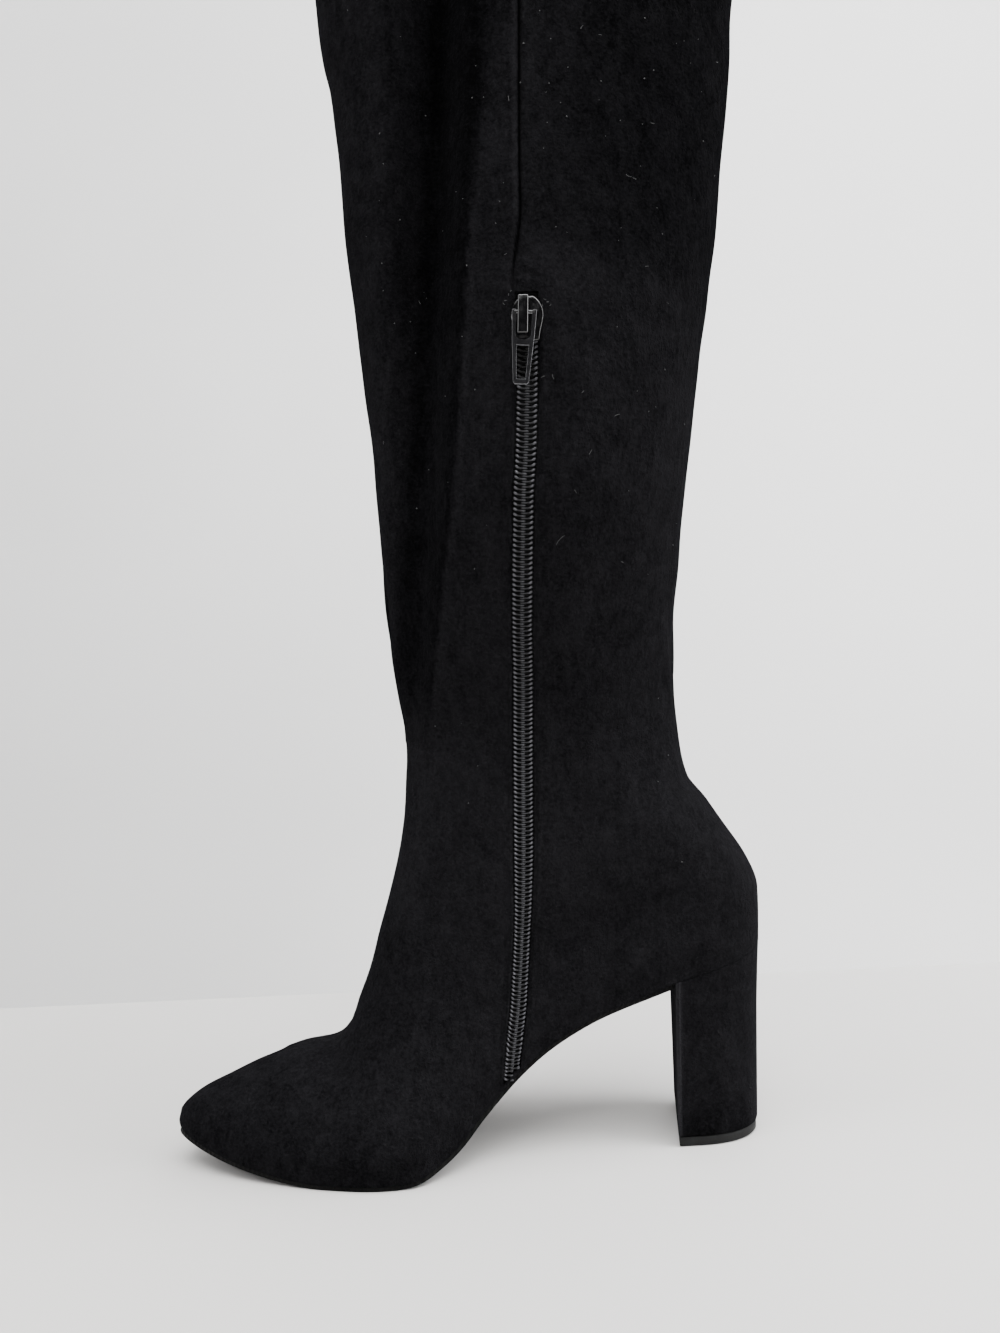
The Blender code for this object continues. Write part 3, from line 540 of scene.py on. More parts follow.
def faced(bm, way):
    """Turn the faces of an open sheet so that they look a given way."""
    bmesh.ops.recalc_face_normals(bm, faces=bm.faces)
    if sum(face.normal.dot(Vector(way)) for face in bm.faces) < 0:
        bmesh.ops.reverse_faces(bm, faces=bm.faces)
    return bm


def grid_of(points):
    """A grid of faces through an array of points, rows by columns."""
    rows, columns = points.shape[:2]
    bm = bmesh.new()
    bmesh.ops.create_grid(bm, x_segments=columns - 1, y_segments=rows - 1, size=0.5)
    return moved(bm, lambda flat: points[np.rint((flat[:, 1] + 0.5) * (rows - 1)).astype(int),
                                         np.rint((flat[:, 0] + 0.5) * (columns - 1)).astype(int)])


def tube(path, radius, sides=6):
    """A round tube through a path, with closed ends. radius is one number, or one for each point."""
    path = [Vector(point) for point in path]
    radii = np.broadcast_to(radius, (len(path),))
    bm = bmesh.new()
    places = []
    turn = (path[1] - path[0]).to_track_quat("Z", "Y")
    for i, point in enumerate(path):
        ahead = path[min(i + 1, len(path) - 1)] - path[max(i - 1, 0)]
        turn = (turn @ Vector((0, 0, 1))).rotation_difference(ahead) @ turn
        thick = Matrix.Scale(float(radii[i]), 4)
        places.append(Matrix.Translation(point) @ turn.to_matrix().to_4x4() @ thick)
    bmesh.ops.create_circle(bm, cap_ends=True, segments=sides, radius=1.0, matrix=places[0])
    end = bm.faces[:]
    for before, after in zip(places, places[1:]):
        grown = bmesh.ops.extrude_face_region(bm, geom=end)["geom"]
        if before is not places[0]:
            bmesh.ops.delete(bm, geom=end, context="FACES_ONLY")
        end = [item for item in grown if isinstance(item, bmesh.types.BMFace)]
        ring = [item for item in grown if isinstance(item, bmesh.types.BMVert)]
        bmesh.ops.transform(bm, matrix=after @ before.inverted(), verts=ring)
    bmesh.ops.recalc_face_normals(bm, faces=bm.faces)
    return bm


def add(target, source, matrix):
    """Join a bmesh to another, moved by a matrix, and free it."""
    bmesh.ops.transform(source, matrix=matrix, verts=source.verts)
    mesh = mesh_of(source, "joined")
    target.from_mesh(mesh)
    bpy.data.meshes.remove(mesh)


def repeated(single, offsets):
    """One shape, repeated at many places and then freed."""
    mesh = mesh_of(single, "single")
    bm = bmesh.new()
    for offset in offsets:
        first = len(bm.verts)
        bm.from_mesh(mesh)
        bm.verts.ensure_lookup_table()
        bmesh.ops.translate(bm, verts=bm.verts[first:], vec=offset)
    bpy.data.meshes.remove(mesh)
    return bm


sample = tube([(0.0, 0.0, 0.0), (0.0, 0.0, 1.0)], 0.5)
print("a straight tube has", len(sample.faces), "faces")
sample.free()

# %% [markdown]
# ## Napped suede
# The nap is far too fine to model: thousands of short fibres that drink the light. A rough shader
# with no gloss and a trace of sheen comes close. What makes it look like suede is the colour, in
# four patterns of falling size: patches where the nap was stroked another way, clouds, streaks
# along the leg and the grain of the fibres. All four are also the bump. A value painted on the
# vertices makes the suede darker or paler: painted shade in the slack fold's hollow and along the
# seam over the zip, painted highlights on the fold's crest, beside the seam, on top of the toe,
# along the back and on the heel cover, and some paler or darker patches. It is painted because no
# pattern knows where the folds are.

# %% A material and its sockets


def look(name, colour=(0.1, 0.1, 0.1), **settings):
    """A new material with its main shader, whose sockets are set by name."""
    made = bpy.data.materials.new(name)
    made.use_nodes = True
    shader = made.node_tree.nodes["Principled BSDF"]
    shader.inputs["Base Color"].default_value = (*colour, 1.0)
    for socket, value in settings.items():
        shader.inputs[socket.replace("_", " ")].default_value = value
    return made


def join(made, value, socket):
    """Give a socket a value, which is another socket or plain numbers."""
    if isinstance(value, bpy.types.NodeSocket):
        made.node_tree.links.new(value, socket)
    else:
        socket.default_value = value


def wire(made, output, name):
    """Join a result to a socket of the material's shader."""
    made.node_tree.links.new(output, made.node_tree.nodes["Principled BSDF"].inputs[name])


def painted(made, name):
    """The value painted on the piece's vertices."""
    node = made.node_tree.nodes.new("ShaderNodeAttribute")
    node.attribute_name = name
    return node.outputs["Fac"]


def place_nodes(made, scale=(1.0, 1.0, 1.0), turn=(0.0, 0.0, 0.0)):
    """Object coordinates in millimetres, stretched and turned."""
    tree = made.node_tree
    where = tree.nodes.new("ShaderNodeTexCoord")
    mapping = tree.nodes.new("ShaderNodeMapping")
    mapping.inputs["Scale"].default_value = [v / MM for v in scale]
    mapping.inputs["Rotation"].default_value = turn
    tree.links.new(where.outputs["Object"], mapping.inputs["Vector"])
    return mapping.outputs["Vector"]


print("a material has its sockets set by name, painted, or joined to a pattern")

# %% Patterns and arithmetic


def noise(made, size, detail=2.0, rough=0.5, scale=(1.0, 1.0, 1.0), turn=(0.0, 0.0, 0.0)):
    """Soft noise whose blobs are size millimetres across."""
    node = made.node_tree.nodes.new("ShaderNodeTexNoise")
    node.inputs["Scale"].default_value = 1.0 / size
    node.inputs["Detail"].default_value = detail
    node.inputs["Roughness"].default_value = rough
    made.node_tree.links.new(place_nodes(made, scale, turn), node.inputs["Vector"])
    return node.outputs["Fac"]


def wave(made, direction, scale, vector, distortion=0.0):
    """Ribs that follow each other in one direction."""
    node = made.node_tree.nodes.new("ShaderNodeTexWave")
    node.bands_direction = direction
    node.inputs["Scale"].default_value = scale
    node.inputs["Distortion"].default_value = distortion
    made.node_tree.links.new(vector, node.inputs["Vector"])
    return node.outputs["Fac"]


def calc(made, kind, first, second=0.0, third=0.0, clamp=False):
    """One step of arithmetic on sockets or numbers."""
    node = made.node_tree.nodes.new("ShaderNodeMath")
    node.operation = kind
    node.use_clamp = clamp
    for socket, value in zip(node.inputs, (first, second, third)):
        join(made, value, socket)
    return node.outputs[0]


def remap(made, value, low, high, new_low=0.0, new_high=1.0):
    """Stretch a value from one range to another, held at its ends."""
    node = made.node_tree.nodes.new("ShaderNodeMapRange")
    made.node_tree.links.new(value, node.inputs["Value"])
    for name, number in (("From Min", low), ("From Max", high), ("To Min", new_low), ("To Max", new_high)):
        node.inputs[name].default_value = number
    return node.outputs["Result"]


def blend(made, share, first, second):
    """Mix two colours, given as sockets or as numbers. A share over 1 goes past the second."""
    node = made.node_tree.nodes.new("ShaderNodeMix")
    node.data_type = "RGBA"
    node.clamp_factor = False
    colours = [socket for socket in node.inputs if socket.type == "RGBA"]
    made.node_tree.links.new(share, node.inputs["Factor"])
    for socket, value in zip(colours, (first, second)):
        join(made, (*value, 1.0) if isinstance(value, tuple) else value, socket)
    return [socket for socket in node.outputs if socket.type == "RGBA"][0]


def bump(made, *layers):
    """Bump from (height, depth in mm) layers, the coarsest first."""
    tree = made.node_tree
    normal = None
    for height, depth in layers:
        node = tree.nodes.new("ShaderNodeBump")
        node.inputs["Distance"].default_value = depth * MM
        tree.links.new(height, node.inputs["Height"])
        if normal is not None:
            tree.links.new(normal, node.inputs["Normal"])
        normal = node.outputs["Normal"]
    wire(made, normal, "Normal")


print("patterns: noise and wave; steps: calc, remap and blend; the bump comes last")

# %% Suede
SUEDE_DARK = (0.0011, 0.0011, 0.0012)
SUEDE_PALE = (0.0099, 0.0097, 0.0108)
SHEEN = 0.006
SHEEN_TINT = (0.92, 0.92, 1.0, 1.0)
SHADING_AND_NAP = "nap_and_shading"                    # a value painted on each vertex: paler or darker patches, painted shade and painted highlights
SUEDE_PATTERNS = (             # size, detail, roughness, stretch, lowest, highest, strength, bump depth
    (12.0, 4.0, 0.62, 0.50, 0.38, 0.64, 0.16, 0.35),
    (4.0, 3.0, 0.70, 0.65, 0.38, 0.64, 0.21, 0.20),
    (1.8, 2.0, 0.60, 0.16, 0.36, 0.66, 0.08, 0.05),
    (1.2, 3.0, 0.80, 1.00, 0.38, 0.64, 0.42, 0.14),
)
MOTTLE_MIDDLE = 0.42
CALM_NAP = (0.10, 0.50, 0.55, 1.0)     # where the painted value is low, less of the mottle shows: from 0.55 of it up to all


def suede_look(name):
    """Black napped suede, darker or paler as the painted value says: patches, painted shade and painted
    highlights.
    """
    made = look(name, Roughness=0.9, Specular_IOR_Level=0.0, Sheen_Weight=SHEEN, Sheen_Roughness=0.35,
                Sheen_Tint=SHEEN_TINT)
    mottle = 0.0
    grain = []
    for size, detail, rough, stretch, lowest, highest, strength, depth in SUEDE_PATTERNS:
        pattern = remap(made, noise(made, size, detail, rough, (1.0, 1.0, stretch)), lowest, highest)
        mottle = calc(made, "MULTIPLY_ADD", pattern, strength, mottle)
        grain.append((pattern, depth))
    # the painted value: paler or darker patches, painted shade and painted highlights
    nap_and_shading = painted(made, SHADING_AND_NAP)
    mottle = calc(made, "SUBTRACT", mottle, MOTTLE_MIDDLE)
    tone_and_shading = calc(made, "MULTIPLY_ADD", mottle, remap(made, nap_and_shading, *CALM_NAP), nap_and_shading)
    wire(made, blend(made, calc(made, "MAXIMUM", tone_and_shading, 0.0), SUEDE_DARK, SUEDE_PALE), "Base Color")
    bump(made, *grain)
    return made


suede = suede_look("black_suede")
heel_suede = suede_look("heel_suede")          # the heel is covered with a piece of its own
print("suede is ready, from", SUEDE_DARK, "to", SUEDE_PALE)

# %% [markdown]
# ## The skin of the boot
# The visible suede is one sheet. It is made as a flat grid, then every vertex is moved to its
# place: columns go round the leg, rows go down it and under the foot. The rows lie closer where
# the slot starts, and columns are packed beside the slot and over the seam above it, because that
# is where the small folds are. Creases aren't left to noise: each is a soft trough or a ridge that
# is placed one by one, in millimetres of the boot.

# %% Rows and columns of the skin
ACROSS_FINE = (-16.0, -13.5, -11.5, -9.8, -8.6, -7.8, -7.4, -6.8, -6.2, -5.7, -5.1, -4.5, -4.1,
               -3.7, -3.2, -2.6, -2.0, -1.5, -1.1, -0.8, -0.5, -0.2, 0.1, 0.5, 1.1, 1.8, 2.7, 3.6,
               4.1, 4.5, 5.1, 5.7, 6.2, 6.8, 7.4, 7.8, 8.6, 9.8, 11.5, 13.5, 16.0)
FRONT_COLUMNS = 44
BACK_COLUMNS = 34
OUTER_COLUMNS = 84
LEG_ROWS = ((COLLAR_Z, 336.0, 120), (336.0, 300.0, 34), (300.0, ANKLE_Z, 60))      # from, to, rows
FOOT_ROWS = 106

low = RINGS.keys <= ANKLE_Z
foot_stations = RINGS.columns["front_station"][low]
foot_levels = np.interp(np.linspace(foot_stations[0], 0.0, FOOT_ROWS), foot_stations, RINGS.keys[low])[::-1]
leg_levels = [np.linspace(start, end, rows, endpoint=False) for start, end, rows in LEG_ROWS]
SKIN_LEVELS = np.concatenate((*leg_levels, foot_levels))
SLOT_ROW = int(np.argmin(abs(SKIN_LEVELS - SLOT_TOP_Z)))
SKIN_LEVELS[SLOT_ROW] = SLOT_TOP_Z
print(len(SKIN_LEVELS), "rows, with the slot's top on row", SLOT_ROW)

# %% Points of the skin


def column_shares(levels, fine, front, back, outer):
    """Shares and sides of the columns: along the inner side to the back, then round the outside."""
    level = levels[:, None]
    middle = at_level(level, ZIP_SHARES)
    per_mm = at_level(level, ZIP_PER_MM)
    start = middle + fine[0] * per_mm
    end = middle + fine[-1] * per_mm
    turn = np.pi / 2 * np.arange(front)[None, :] / front
    before = start * (1 - np.cos(turn))
    beside = middle + np.array(fine)[None, :] * per_mm
    turn = np.pi / 2 * np.arange(1, back + 1)[None, :] / back
    behind = end + (1 - end) * np.sin(turn)
    turn = np.pi * np.arange(1, outer + 1)[None, :] / outer
    outside = (1 + np.cos(turn)) / 2 + 0.0 * level
    side = np.concatenate((np.full(front + len(fine) + back, -1.0), np.full(outer, 1.0)))
    return np.concatenate((before, beside, behind, outside), axis=1), side


def shell_points(levels, fine, front, back, outer):
    """Points of the outer face by row and column, with the outward direction at each."""
    share, side = column_shares(levels, fine, front, back, outer)
    points = ring_point(levels[:, None], share, side[None, :])
    loop = points[:, :-1]
    along = np.roll(loop, -1, axis=1) - np.roll(loop, 1, axis=1)
    along = np.concatenate((along, along[:, :1]), axis=1)
    up = -np.gradient(points, axis=0)
    outward = np.cross(along, up)
    return points, outward / np.maximum(length_of(outward), 1e-9), share, side


skin, skin_out, skin_share, skin_side = shell_points(
    SKIN_LEVELS, ACROSS_FINE, FRONT_COLUMNS, BACK_COLUMNS, OUTER_COLUMNS)
print("the skin is", skin.shape[0], "rows by", skin.shape[1], "columns")

# %% [markdown]
# ## Creases, seams and the rolled edge of the slot
# Suede is soft, so nothing on it has a hard edge. Every mark is a bell-shaped bump or dent along a
# line: a depth, a width and a place. The edge beside the zip is folded under and stitched, which
# shows as an edge that rolls away, a low lip and the small trough of the stitch row.

# %% Soft marks


def bell(distance, width):
    """1 on the line, falling softly to 0."""
    return np.exp(-(distance / width) ** 2)


def gate(value, start, end):
    """Soft switch that is 0 at start and 1 at end."""
    return ease((value - start) / (end - start))


def line_distance(x, z, points):
    """Signed distance from a bent line in the side view, and the share along it."""
    best = np.full(x.shape, 1e9)
    signed = np.zeros(x.shape)
    share = np.zeros(x.shape)
    count = len(points) - 1
    for i, ((x0, z0), (x1, z1)) in enumerate(zip(points, points[1:])):
        dx, dz = x1 - x0, z1 - z0
        t = np.clip(((x - x0) * dx + (z - z0) * dz) / (dx * dx + dz * dz), 0.0, 1.0)
        distance = np.hypot(x - x0 - t * dx, z - z0 - t * dz)
        nearer = distance < best
        cross = dx * (z - z0) - dz * (x - x0)
        signed = np.where(nearer, np.sign(cross) * distance, signed)
        share = np.where(nearer, (i + t) / count, share)
        best = np.where(nearer, distance, best)
    return signed, share


def crease(x, z, points, depth, width):
    """A soft trough along a bent line, deepest in the middle of its length. depth below 0 is a ridge."""
    distance, share = line_distance(x, z, points)
    return -depth * bell(distance, width) * np.sin(np.pi * np.clip(share, 0.02, 0.98)) ** 0.6


def profile(distance, *rows):
    """Bumps and dents across a line, from (place, height, width) rows."""
    return sum(height * bell(distance - place, width) for place, height, width in rows)


def swell(x, z, size, turn):
    """Slow waves, as in soft cloth over a leg: three crossing sine waves."""
    u = (x * math.cos(turn) + z * math.sin(turn)) / size
    v = (z * math.cos(turn) - x * math.sin(turn)) / size
    return (np.sin(u + 0.7 * np.sin(1.3 * v)) + np.sin(1.7 * v + 1.1 * np.sin(0.8 * u)) * 0.7
            + np.sin(2.3 * u - 1.1 * v + 0.6) * 0.4) / 2.1


print("a mark falls to", round(float(bell(1.0, 1.0)), 2), "one width away from its line")

# %% Creases placed one by one
ANKLE_CREASES = (              # (points, depth, width) of creases on the inner side
    (((-14.2, 145.0), (-21.0, 139.5), (-27.5, 133.5), (-36.5, 123.0)), 0.55, 1.6),
    (((-36.5, 123.0), (-43.5, 111.5), (-49.0, 100.5)), 0.25, 1.8),
    (((-94.0, 45.5), (-97.5, 38.0), (-101.5, 30.0)), 0.50, 1.1),
    (((-90.5, 43.0), (-94.5, 34.0), (-98.0, 27.0)), 0.35, 1.0),
    (((-122.0, 40.0), (-116.0, 39.6)), 0.35, 0.8),
    (((-12.8, 186.0), (-17.5, 181.5), (-22.5, 180.0)), 0.50, 1.3),
)
VAMP_CREASES = (               # across the vamp, on both sides of its ridge
    (((-150.0, 47.0), (-152.3, 42.0), (-153.2, 36.0), (-153.0, 28.0)), 0.55, 1.5),
    (((-146.0, 44.0), (-147.6, 38.0), (-148.0, 31.0)), 0.40, 1.6),
    (((-157.0, 42.0), (-158.2, 36.0), (-158.4, 30.0)), 0.30, 1.4),
)
BACK_RIDGE = ((-22.6, 222.0), (-20.6, 200.0), (-18.2, 182.0), (-17.6, 171.0))
print(len(ANKLE_CREASES) + len(VAMP_CREASES), "creases and a ridge over the heel are placed")

# %% Turned edge of the slot and the seam above it
STITCH_ACROSS = 5.4            # the stitches run this far beside the zip's middle line
STITCH_PITCH = 3.1
SLOT_REACH = 16.0              # no mark of the zip reaches further across
ROLL_START = 4.9               # from here towards the slot, the turned edge rolls away
ROLL_LENGTH = 0.8
ROLL_DEPTH = 0.45
PUCKER_DEPTH = 0.07            # the edge waves up and down with the stitches
SLOT_PROFILE = ((STITCH_ACROSS, 0.12, 0.8), (7.4, -0.20, 0.55))
SEAM_PROFILE = ((-1.6, 0.50, 1.2), (0.3, -0.85, 0.6), (2.0, 0.15, 1.0))


def seam_offset(z):
    """Where the seam over the zip runs, beside the zip's middle line."""
    return -0.5 - 4.7 * gate(z, 354.0, 322.0)


def slot_relief(across, height):
    """The turned edge beside the zip: it rolls away, has a stitched lip and ends in a small trough."""
    a = np.abs(across)
    roll = -ROLL_DEPTH * np.clip((ROLL_START - a) / ROLL_LENGTH, 0.0, 1.0) ** 2
    pucker = PUCKER_DEPTH * np.cos(2 * np.pi * height / STITCH_PITCH) * bell(a - STITCH_ACROSS, 0.8)
    edge = roll + pucker + profile(a, *SLOT_PROFILE)
    return np.where(a < SLOT_REACH, edge * gate(height, ZIP_TOP_Y + 1.0, ZIP_TOP_Y - 1.0), 0.0)


GATHERS = (                    # folds over the slot's top: height, across, depth, width, reach, slope
    (324.0, -0.4, -0.25, 1.0, 3.2, 0.0), (326.4, -1.6, 0.40, 1.0, 4.0, 0.12),
    (328.8, 1.8, -0.28, 1.0, 3.6, 0.30), (331.8, -2.0, 0.32, 1.3, 4.0, -0.20),
    (334.6, 2.6, -0.30, 1.3, 3.4, 0.50), (338.5, 3.4, 0.28, 1.6, 3.6, 0.80),
    (330.0, 6.4, -0.35, 1.0, 2.4, 0.90), (326.5, -6.0, -0.30, 1.0, 2.2, -0.80),
)


def seam_relief(across, z):
    """The lapped seam from the slot to the collar, with a gather where the zip ends."""
    marks = profile(across - seam_offset(z), *SEAM_PROFILE)
    for at_z, at_x, depth, width, reach, slope in GATHERS:
        aside = across - at_x
        marks = marks + depth * bell(z - at_z + slope * aside, width) * bell(aside, reach)
    above = gate(z, SLOT_TOP_Z - 1.0, SLOT_TOP_Z + 1.5)
    return np.where(np.abs(across) < SLOT_REACH, above * marks, 0.0)


print("stitches", STITCH_PITCH, "mm apart, and", len(GATHERS), "small folds over the slot")

# %% All the relief together
SWELLS = (                     # slow waves: on the firm foot, more on the soft leg, lean, size, turn
    (0.16, 0.36, 0.6, 17.0, 0.35),
    (0.08, 0.20, -0.4, 7.5, 1.1),
)
BACK_SEAM_PROFILE = ((0.0, -0.38, 0.6), (1.7, 0.14, 0.8))


def back_ridge(x, z):
    """The ridge of slack suede over the heel, with a hollow beside it."""
    ridge, share = line_distance(x, z, BACK_RIDGE)
    middle = np.sin(np.pi * share)
    return 0.9 * bell(ridge, 1.7) * middle ** 0.5 - 0.5 * bell(ridge - 3.2, 1.8) * middle


def relief(points, side, across, height, y_back):
    """How far each point of the skin stands off the plain form, in millimetres."""
    x, y, z = points[..., 0], points[..., 1], points[..., 2]
    lift = z - feather(x)
    firm = gate(lift, 2.0, 26.0)
    soft = gate(z, 95.0, 190.0)
    out = np.zeros(x.shape)
    for least, more, lean, size, turn in SWELLS:
        out += firm * (least + more * soft) * swell(x + lean * y, z, size, turn)
    marks = back_ridge(x, z) + slot_relief(across, height) + seam_relief(across, z)
    for line, depth, width in ANKLE_CREASES:
        marks += crease(x, z, line, depth, width)
    out += np.where(side < 0, marks, 0.0)
    for line, depth, width in VAMP_CREASES:
        out += crease(x, z, line, depth, width)
    behind = gate(x, -60.0, -30.0) * gate(lift, 3.0, 10.0)
    out += behind * profile(np.abs(y - y_back), *BACK_SEAM_PROFILE)
    return out * gate(lift, 0.5, 3.0)


skin_level = SKIN_LEVELS[:, None]
skin_across = (skin_share - at_level(skin_level, ZIP_SHARES)) / at_level(skin_level, ZIP_PER_MM)
BACK_COLUMN = FRONT_COLUMNS + len(ACROSS_FINE) + BACK_COLUMNS - 1
skin_relief = relief(skin, skin_side[None, :], skin_across, at_level(skin_level, ZIP_Y),
                     skin[:, BACK_COLUMN:BACK_COLUMN + 1, 1])
skin = skin + skin_out * skin_relief[..., None]
print("relief from", round(float(skin_relief.min()), 2), "to", round(float(skin_relief.max()), 2), "mm")

# %% Edge of the skin that is turned in under the foot
BREAST_GATE = (-26.0, -19.0)   # from here to here, the edge goes over from the sole to the heel
SOLE_LAP = (                   # (inset, rise) of the rows of the turned edge, over the sole
    (0.0, 1.3), (0.08, 0.2), (0.30, -0.5), (0.70, -1.0), (0.96, -1.15), (1.0, -0.8), (1.1, -0.5),
    (9.0, -0.5),
)
HEEL_LAP = (                   # and over the heel
    (0.0, 1.3), (0.0, 0.6), (0.02, 0.0), (0.06, -0.30), (0.22, -0.48), (0.45, -0.50), (0.9, -0.45),
    (9.0, -0.4),
)


def lap_row(sole, heel):
    """One row of the turned-in edge, from (inset, rise) over the sole and over the heel."""
    edge = ring_point(FEATHER_LEVEL, skin_share[-1], skin_side)
    heel_part = gate(edge[:, 0], *BREAST_GATE)
    inset = sole[0] + (heel[0] - sole[0]) * heel_part
    rise = sole[1] + (heel[1] - sole[1]) * heel_part
    return inset_points(edge, inset, rise)


lap_rows = [lap_row(sole, heel) for sole, heel in zip(SOLE_LAP, HEEL_LAP)]
skin_rows = np.concatenate((skin[:-1], np.stack(lap_rows)), axis=0)
print("the turned edge adds", len(lap_rows), "rows and drops the last one of the wall")

# %% Slot and rims
RIM_DEPTH = 1.7                # the rims of the collar and the slot reach in to the lining


def cut_slot(bm, levels, columns, slot, end):
    """Take out the faces of the zip's slot, close the grid into a tube and turn it outwards."""
    bm.faces.ensure_lookup_table()
    top = int(np.argmin(abs(levels - SLOT_TOP_Z)))
    cut = [bm.faces[row * (columns - 1) + column] for row in range(top, end) for column in range(*slot)]
    bmesh.ops.delete(bm, geom=cut, context="FACES")
    bmesh.ops.remove_doubles(bm, verts=bm.verts, dist=0.01)
    bmesh.ops.recalc_face_normals(bm, faces=bm.faces)
    outer_face = max(bm.faces, key=lambda face: face.calc_center_median().y)
    if outer_face.normal.y < 0:
        bmesh.ops.reverse_faces(bm, faces=bm.faces)
    return bm


def over_margin(point):
    """True above the edge that is turned in under the foot."""
    return point.z > underside(point.x) - 0.1


def turn_in(bm, depth):
    """Give the collar and the slot's edges a thickness, by growing their edges inwards."""
    bm.normal_update()
    rim = [edge for edge in bm.edges
           if edge.is_boundary and all(over_margin(vert.co) for vert in edge.verts)]
    outward = {vert.co.to_tuple(3): vert.normal.copy() for edge in rim for vert in edge.verts}
    grown = bmesh.ops.extrude_edge_only(bm, edges=rim)["geom"]
    for vert in (item for item in grown if isinstance(item, bmesh.types.BMVert)):
        vert.co -= outward[vert.co.to_tuple(3)] * depth
    return bm


slot_columns = [FRONT_COLUMNS + ACROSS_FINE.index(edge) for edge in (-SLOT_HALF, SLOT_HALF)]
bm = grid_of(skin_rows)
cut_slot(bm, SKIN_LEVELS, skin_rows.shape[1], slot_columns, len(SKIN_LEVELS))
turn_in(bm, RIM_DEPTH)
print("the skin has", len(bm.faces), "faces, with the slot cut and its rims turned in")

# %% Painted shade, painted highlights and paler or darker patches
PLAIN_NAP = 0.5                # below it the suede is darker, above it paler
ALL_ALONG = (-400.0, -399.0)   # a gate that is open at every x of the boot
NAP_SPOTS = (                  # on the inner side: strength, x, reach, z, reach
    (0.13, -65.0, 10.0, 332.0, 12.0),
    (0.08, -88.0, 10.0, 195.0, 30.0),
    (-0.10, -134.0, 9.0, 78.0, 22.0),
)
INNER_FIELDS = (               # on the inner side: strength, then x and z where it starts and is full
    (-0.09, -64.0, -38.0, 240.0, 340.0),
    (-0.05, -70.0, -54.0, 320.0, 350.0),
)
TONE_AND_LIGHT_FIELDS = (                 # the same, on both sides
    (0.10, -150.0, -125.0, 190.0, 130.0),
    (-0.09, *ALL_ALONG, 290.0, 345.0),
    (-0.09, -80.0, -64.0, 325.0, 355.0),
    (-0.07, -95.0, -112.0, 110.0, 85.0),
    # painted light along the back, over the heel
    (0.14, 4.0, 18.0, 170.0, 120.0),
)


def spots(x, z, rows):
    """Sum of soft round spots where the suede is paler or darker."""
    return sum(strength * bell(x - at_x, wide) * bell(z - at_z, high)
               for strength, at_x, wide, at_z, high in rows)


def fields(x, z, rows):
    """Sum of wide fields where the suede is paler or darker, with soft edges."""
    return sum(strength * gate(x, x_start, x_full) * gate(z, z_start, z_full)
               for strength, x_start, x_full, z_start, z_full in rows)


def fold_shading(x, z):
    """Painted shade in the hollow in front of the slack fold's crest, and a painted highlight on the crest.
    """
    before = FOLD.smooth("crest_x", z) - x
    wide = np.clip(23.0 + 0.075 * (z - 255.0), 16.0, 36.0)
    fade = 1.6 + 13.0 * gate(z, 340.0, 450.0)
    # painted shade, from the front lobe down into the hollow, full up to the crest and fading past it
    hollow = 0.10 * ease((wide - before) / 6.0) + 0.24 * ease((20.0 - before) / 7.0)
    hollow = np.where(before > 0.0, hollow, 0.34 * ease((before + fade) / fade))
    # painted highlight along the crest
    rim = bell(before + 2.0, 1.5) * gate(z, 380.0, 320.0)
    return (0.14 * rim - hollow) * gate(z, 150.0, 200.0)


def seam_shading(x, z):
    """Painted shade along the seam over the zip, with a painted highlight on the edge in front of it."""
    seam = x - ZIP_LINE.smooth("x", z) - seam_offset(z)
    # a painted highlight on the edge in front of the seam, and painted shade along the seam
    edge_highlight = 0.30 * bell(seam + 1.7, 0.9) * gate(z, 335.0, 350.0)
    return edge_highlight - 0.55 * bell(seam - 0.2, 0.45) * gate(z, 325.0, 335.0)


def toe_highlight(x, z):
    """Painted light: the toe is paler on top, and again a little just over its edge."""
    top = (z - feather(x)) / np.maximum(46.0 - 0.5 * (x + 145.0) - feather(x), 12.0)
    return gate(x, -138.0, -160.0) * (0.20 * gate(top, 0.35, 0.85) + 0.06 * gate(top, 0.22, 0.08))


def skin_tone_and_shading(points):
    """The painted value at points of the skin: paler or darker patches, painted shade and painted
    highlights.
    """
    x, y, z = points.T
    inner = y < OUTLINE.smooth("middle", x) - 4.0
    zip_side = fold_shading(x, z) + seam_shading(x, z) + spots(x, z, NAP_SPOTS) + fields(x, z, INNER_FIELDS)
    return PLAIN_NAP + np.where(inner, zip_side, 0.0) + fields(x, z, TONE_AND_LIGHT_FIELDS) + toe_highlight(x, z)


# paint shade, highlights and paler or darker patches on the skin
paint_on(bm, SHADING_AND_NAP, skin_tone_and_shading)
finish(bm, "suede_skin", suede, replaces=("upper",), smooth=70.0)

# %% [markdown]
# ## Lining
# Inside, the boot is lined with a thin knit. It needs no fine grid, because no crease shows on it,
# so it is the same form with far fewer rows, a little way in, and a Solidify modifier for its
# thickness.

# %% Lining
LINING_DEPTH = 1.75
LINING_THICK = 0.4
LINING_FINE = (-16.0, -10.0, -5.2, 5.2, 10.0, 16.0)
LINING_SLOT = (-5.2, 5.2)
LINING_COLUMNS = (18, 14, 32)          # in front of the zip, behind it and round the outside
LINING_FOOT = 81.2             # level of its lowest row, in the shade under the sock


def lining_look():
    """Dark knitted cloth: small ribs round the leg."""
    made = look("knit_lining", (0.02, 0.02, 0.022), Roughness=0.9, Specular_IOR_Level=0.1,
                Sheen_Weight=0.03, Sheen_Roughness=0.5)
    ribs = wave(made, "Z", 0.5, place_nodes(made), distortion=1.2)
    wire(made, blend(made, ribs, (0.010, 0.010, 0.011), (0.026, 0.026, 0.029)), "Base Color")
    bump(made, (ribs, 0.12), (noise(made, 0.5, 1.0, 0.5), 0.06))
    return made


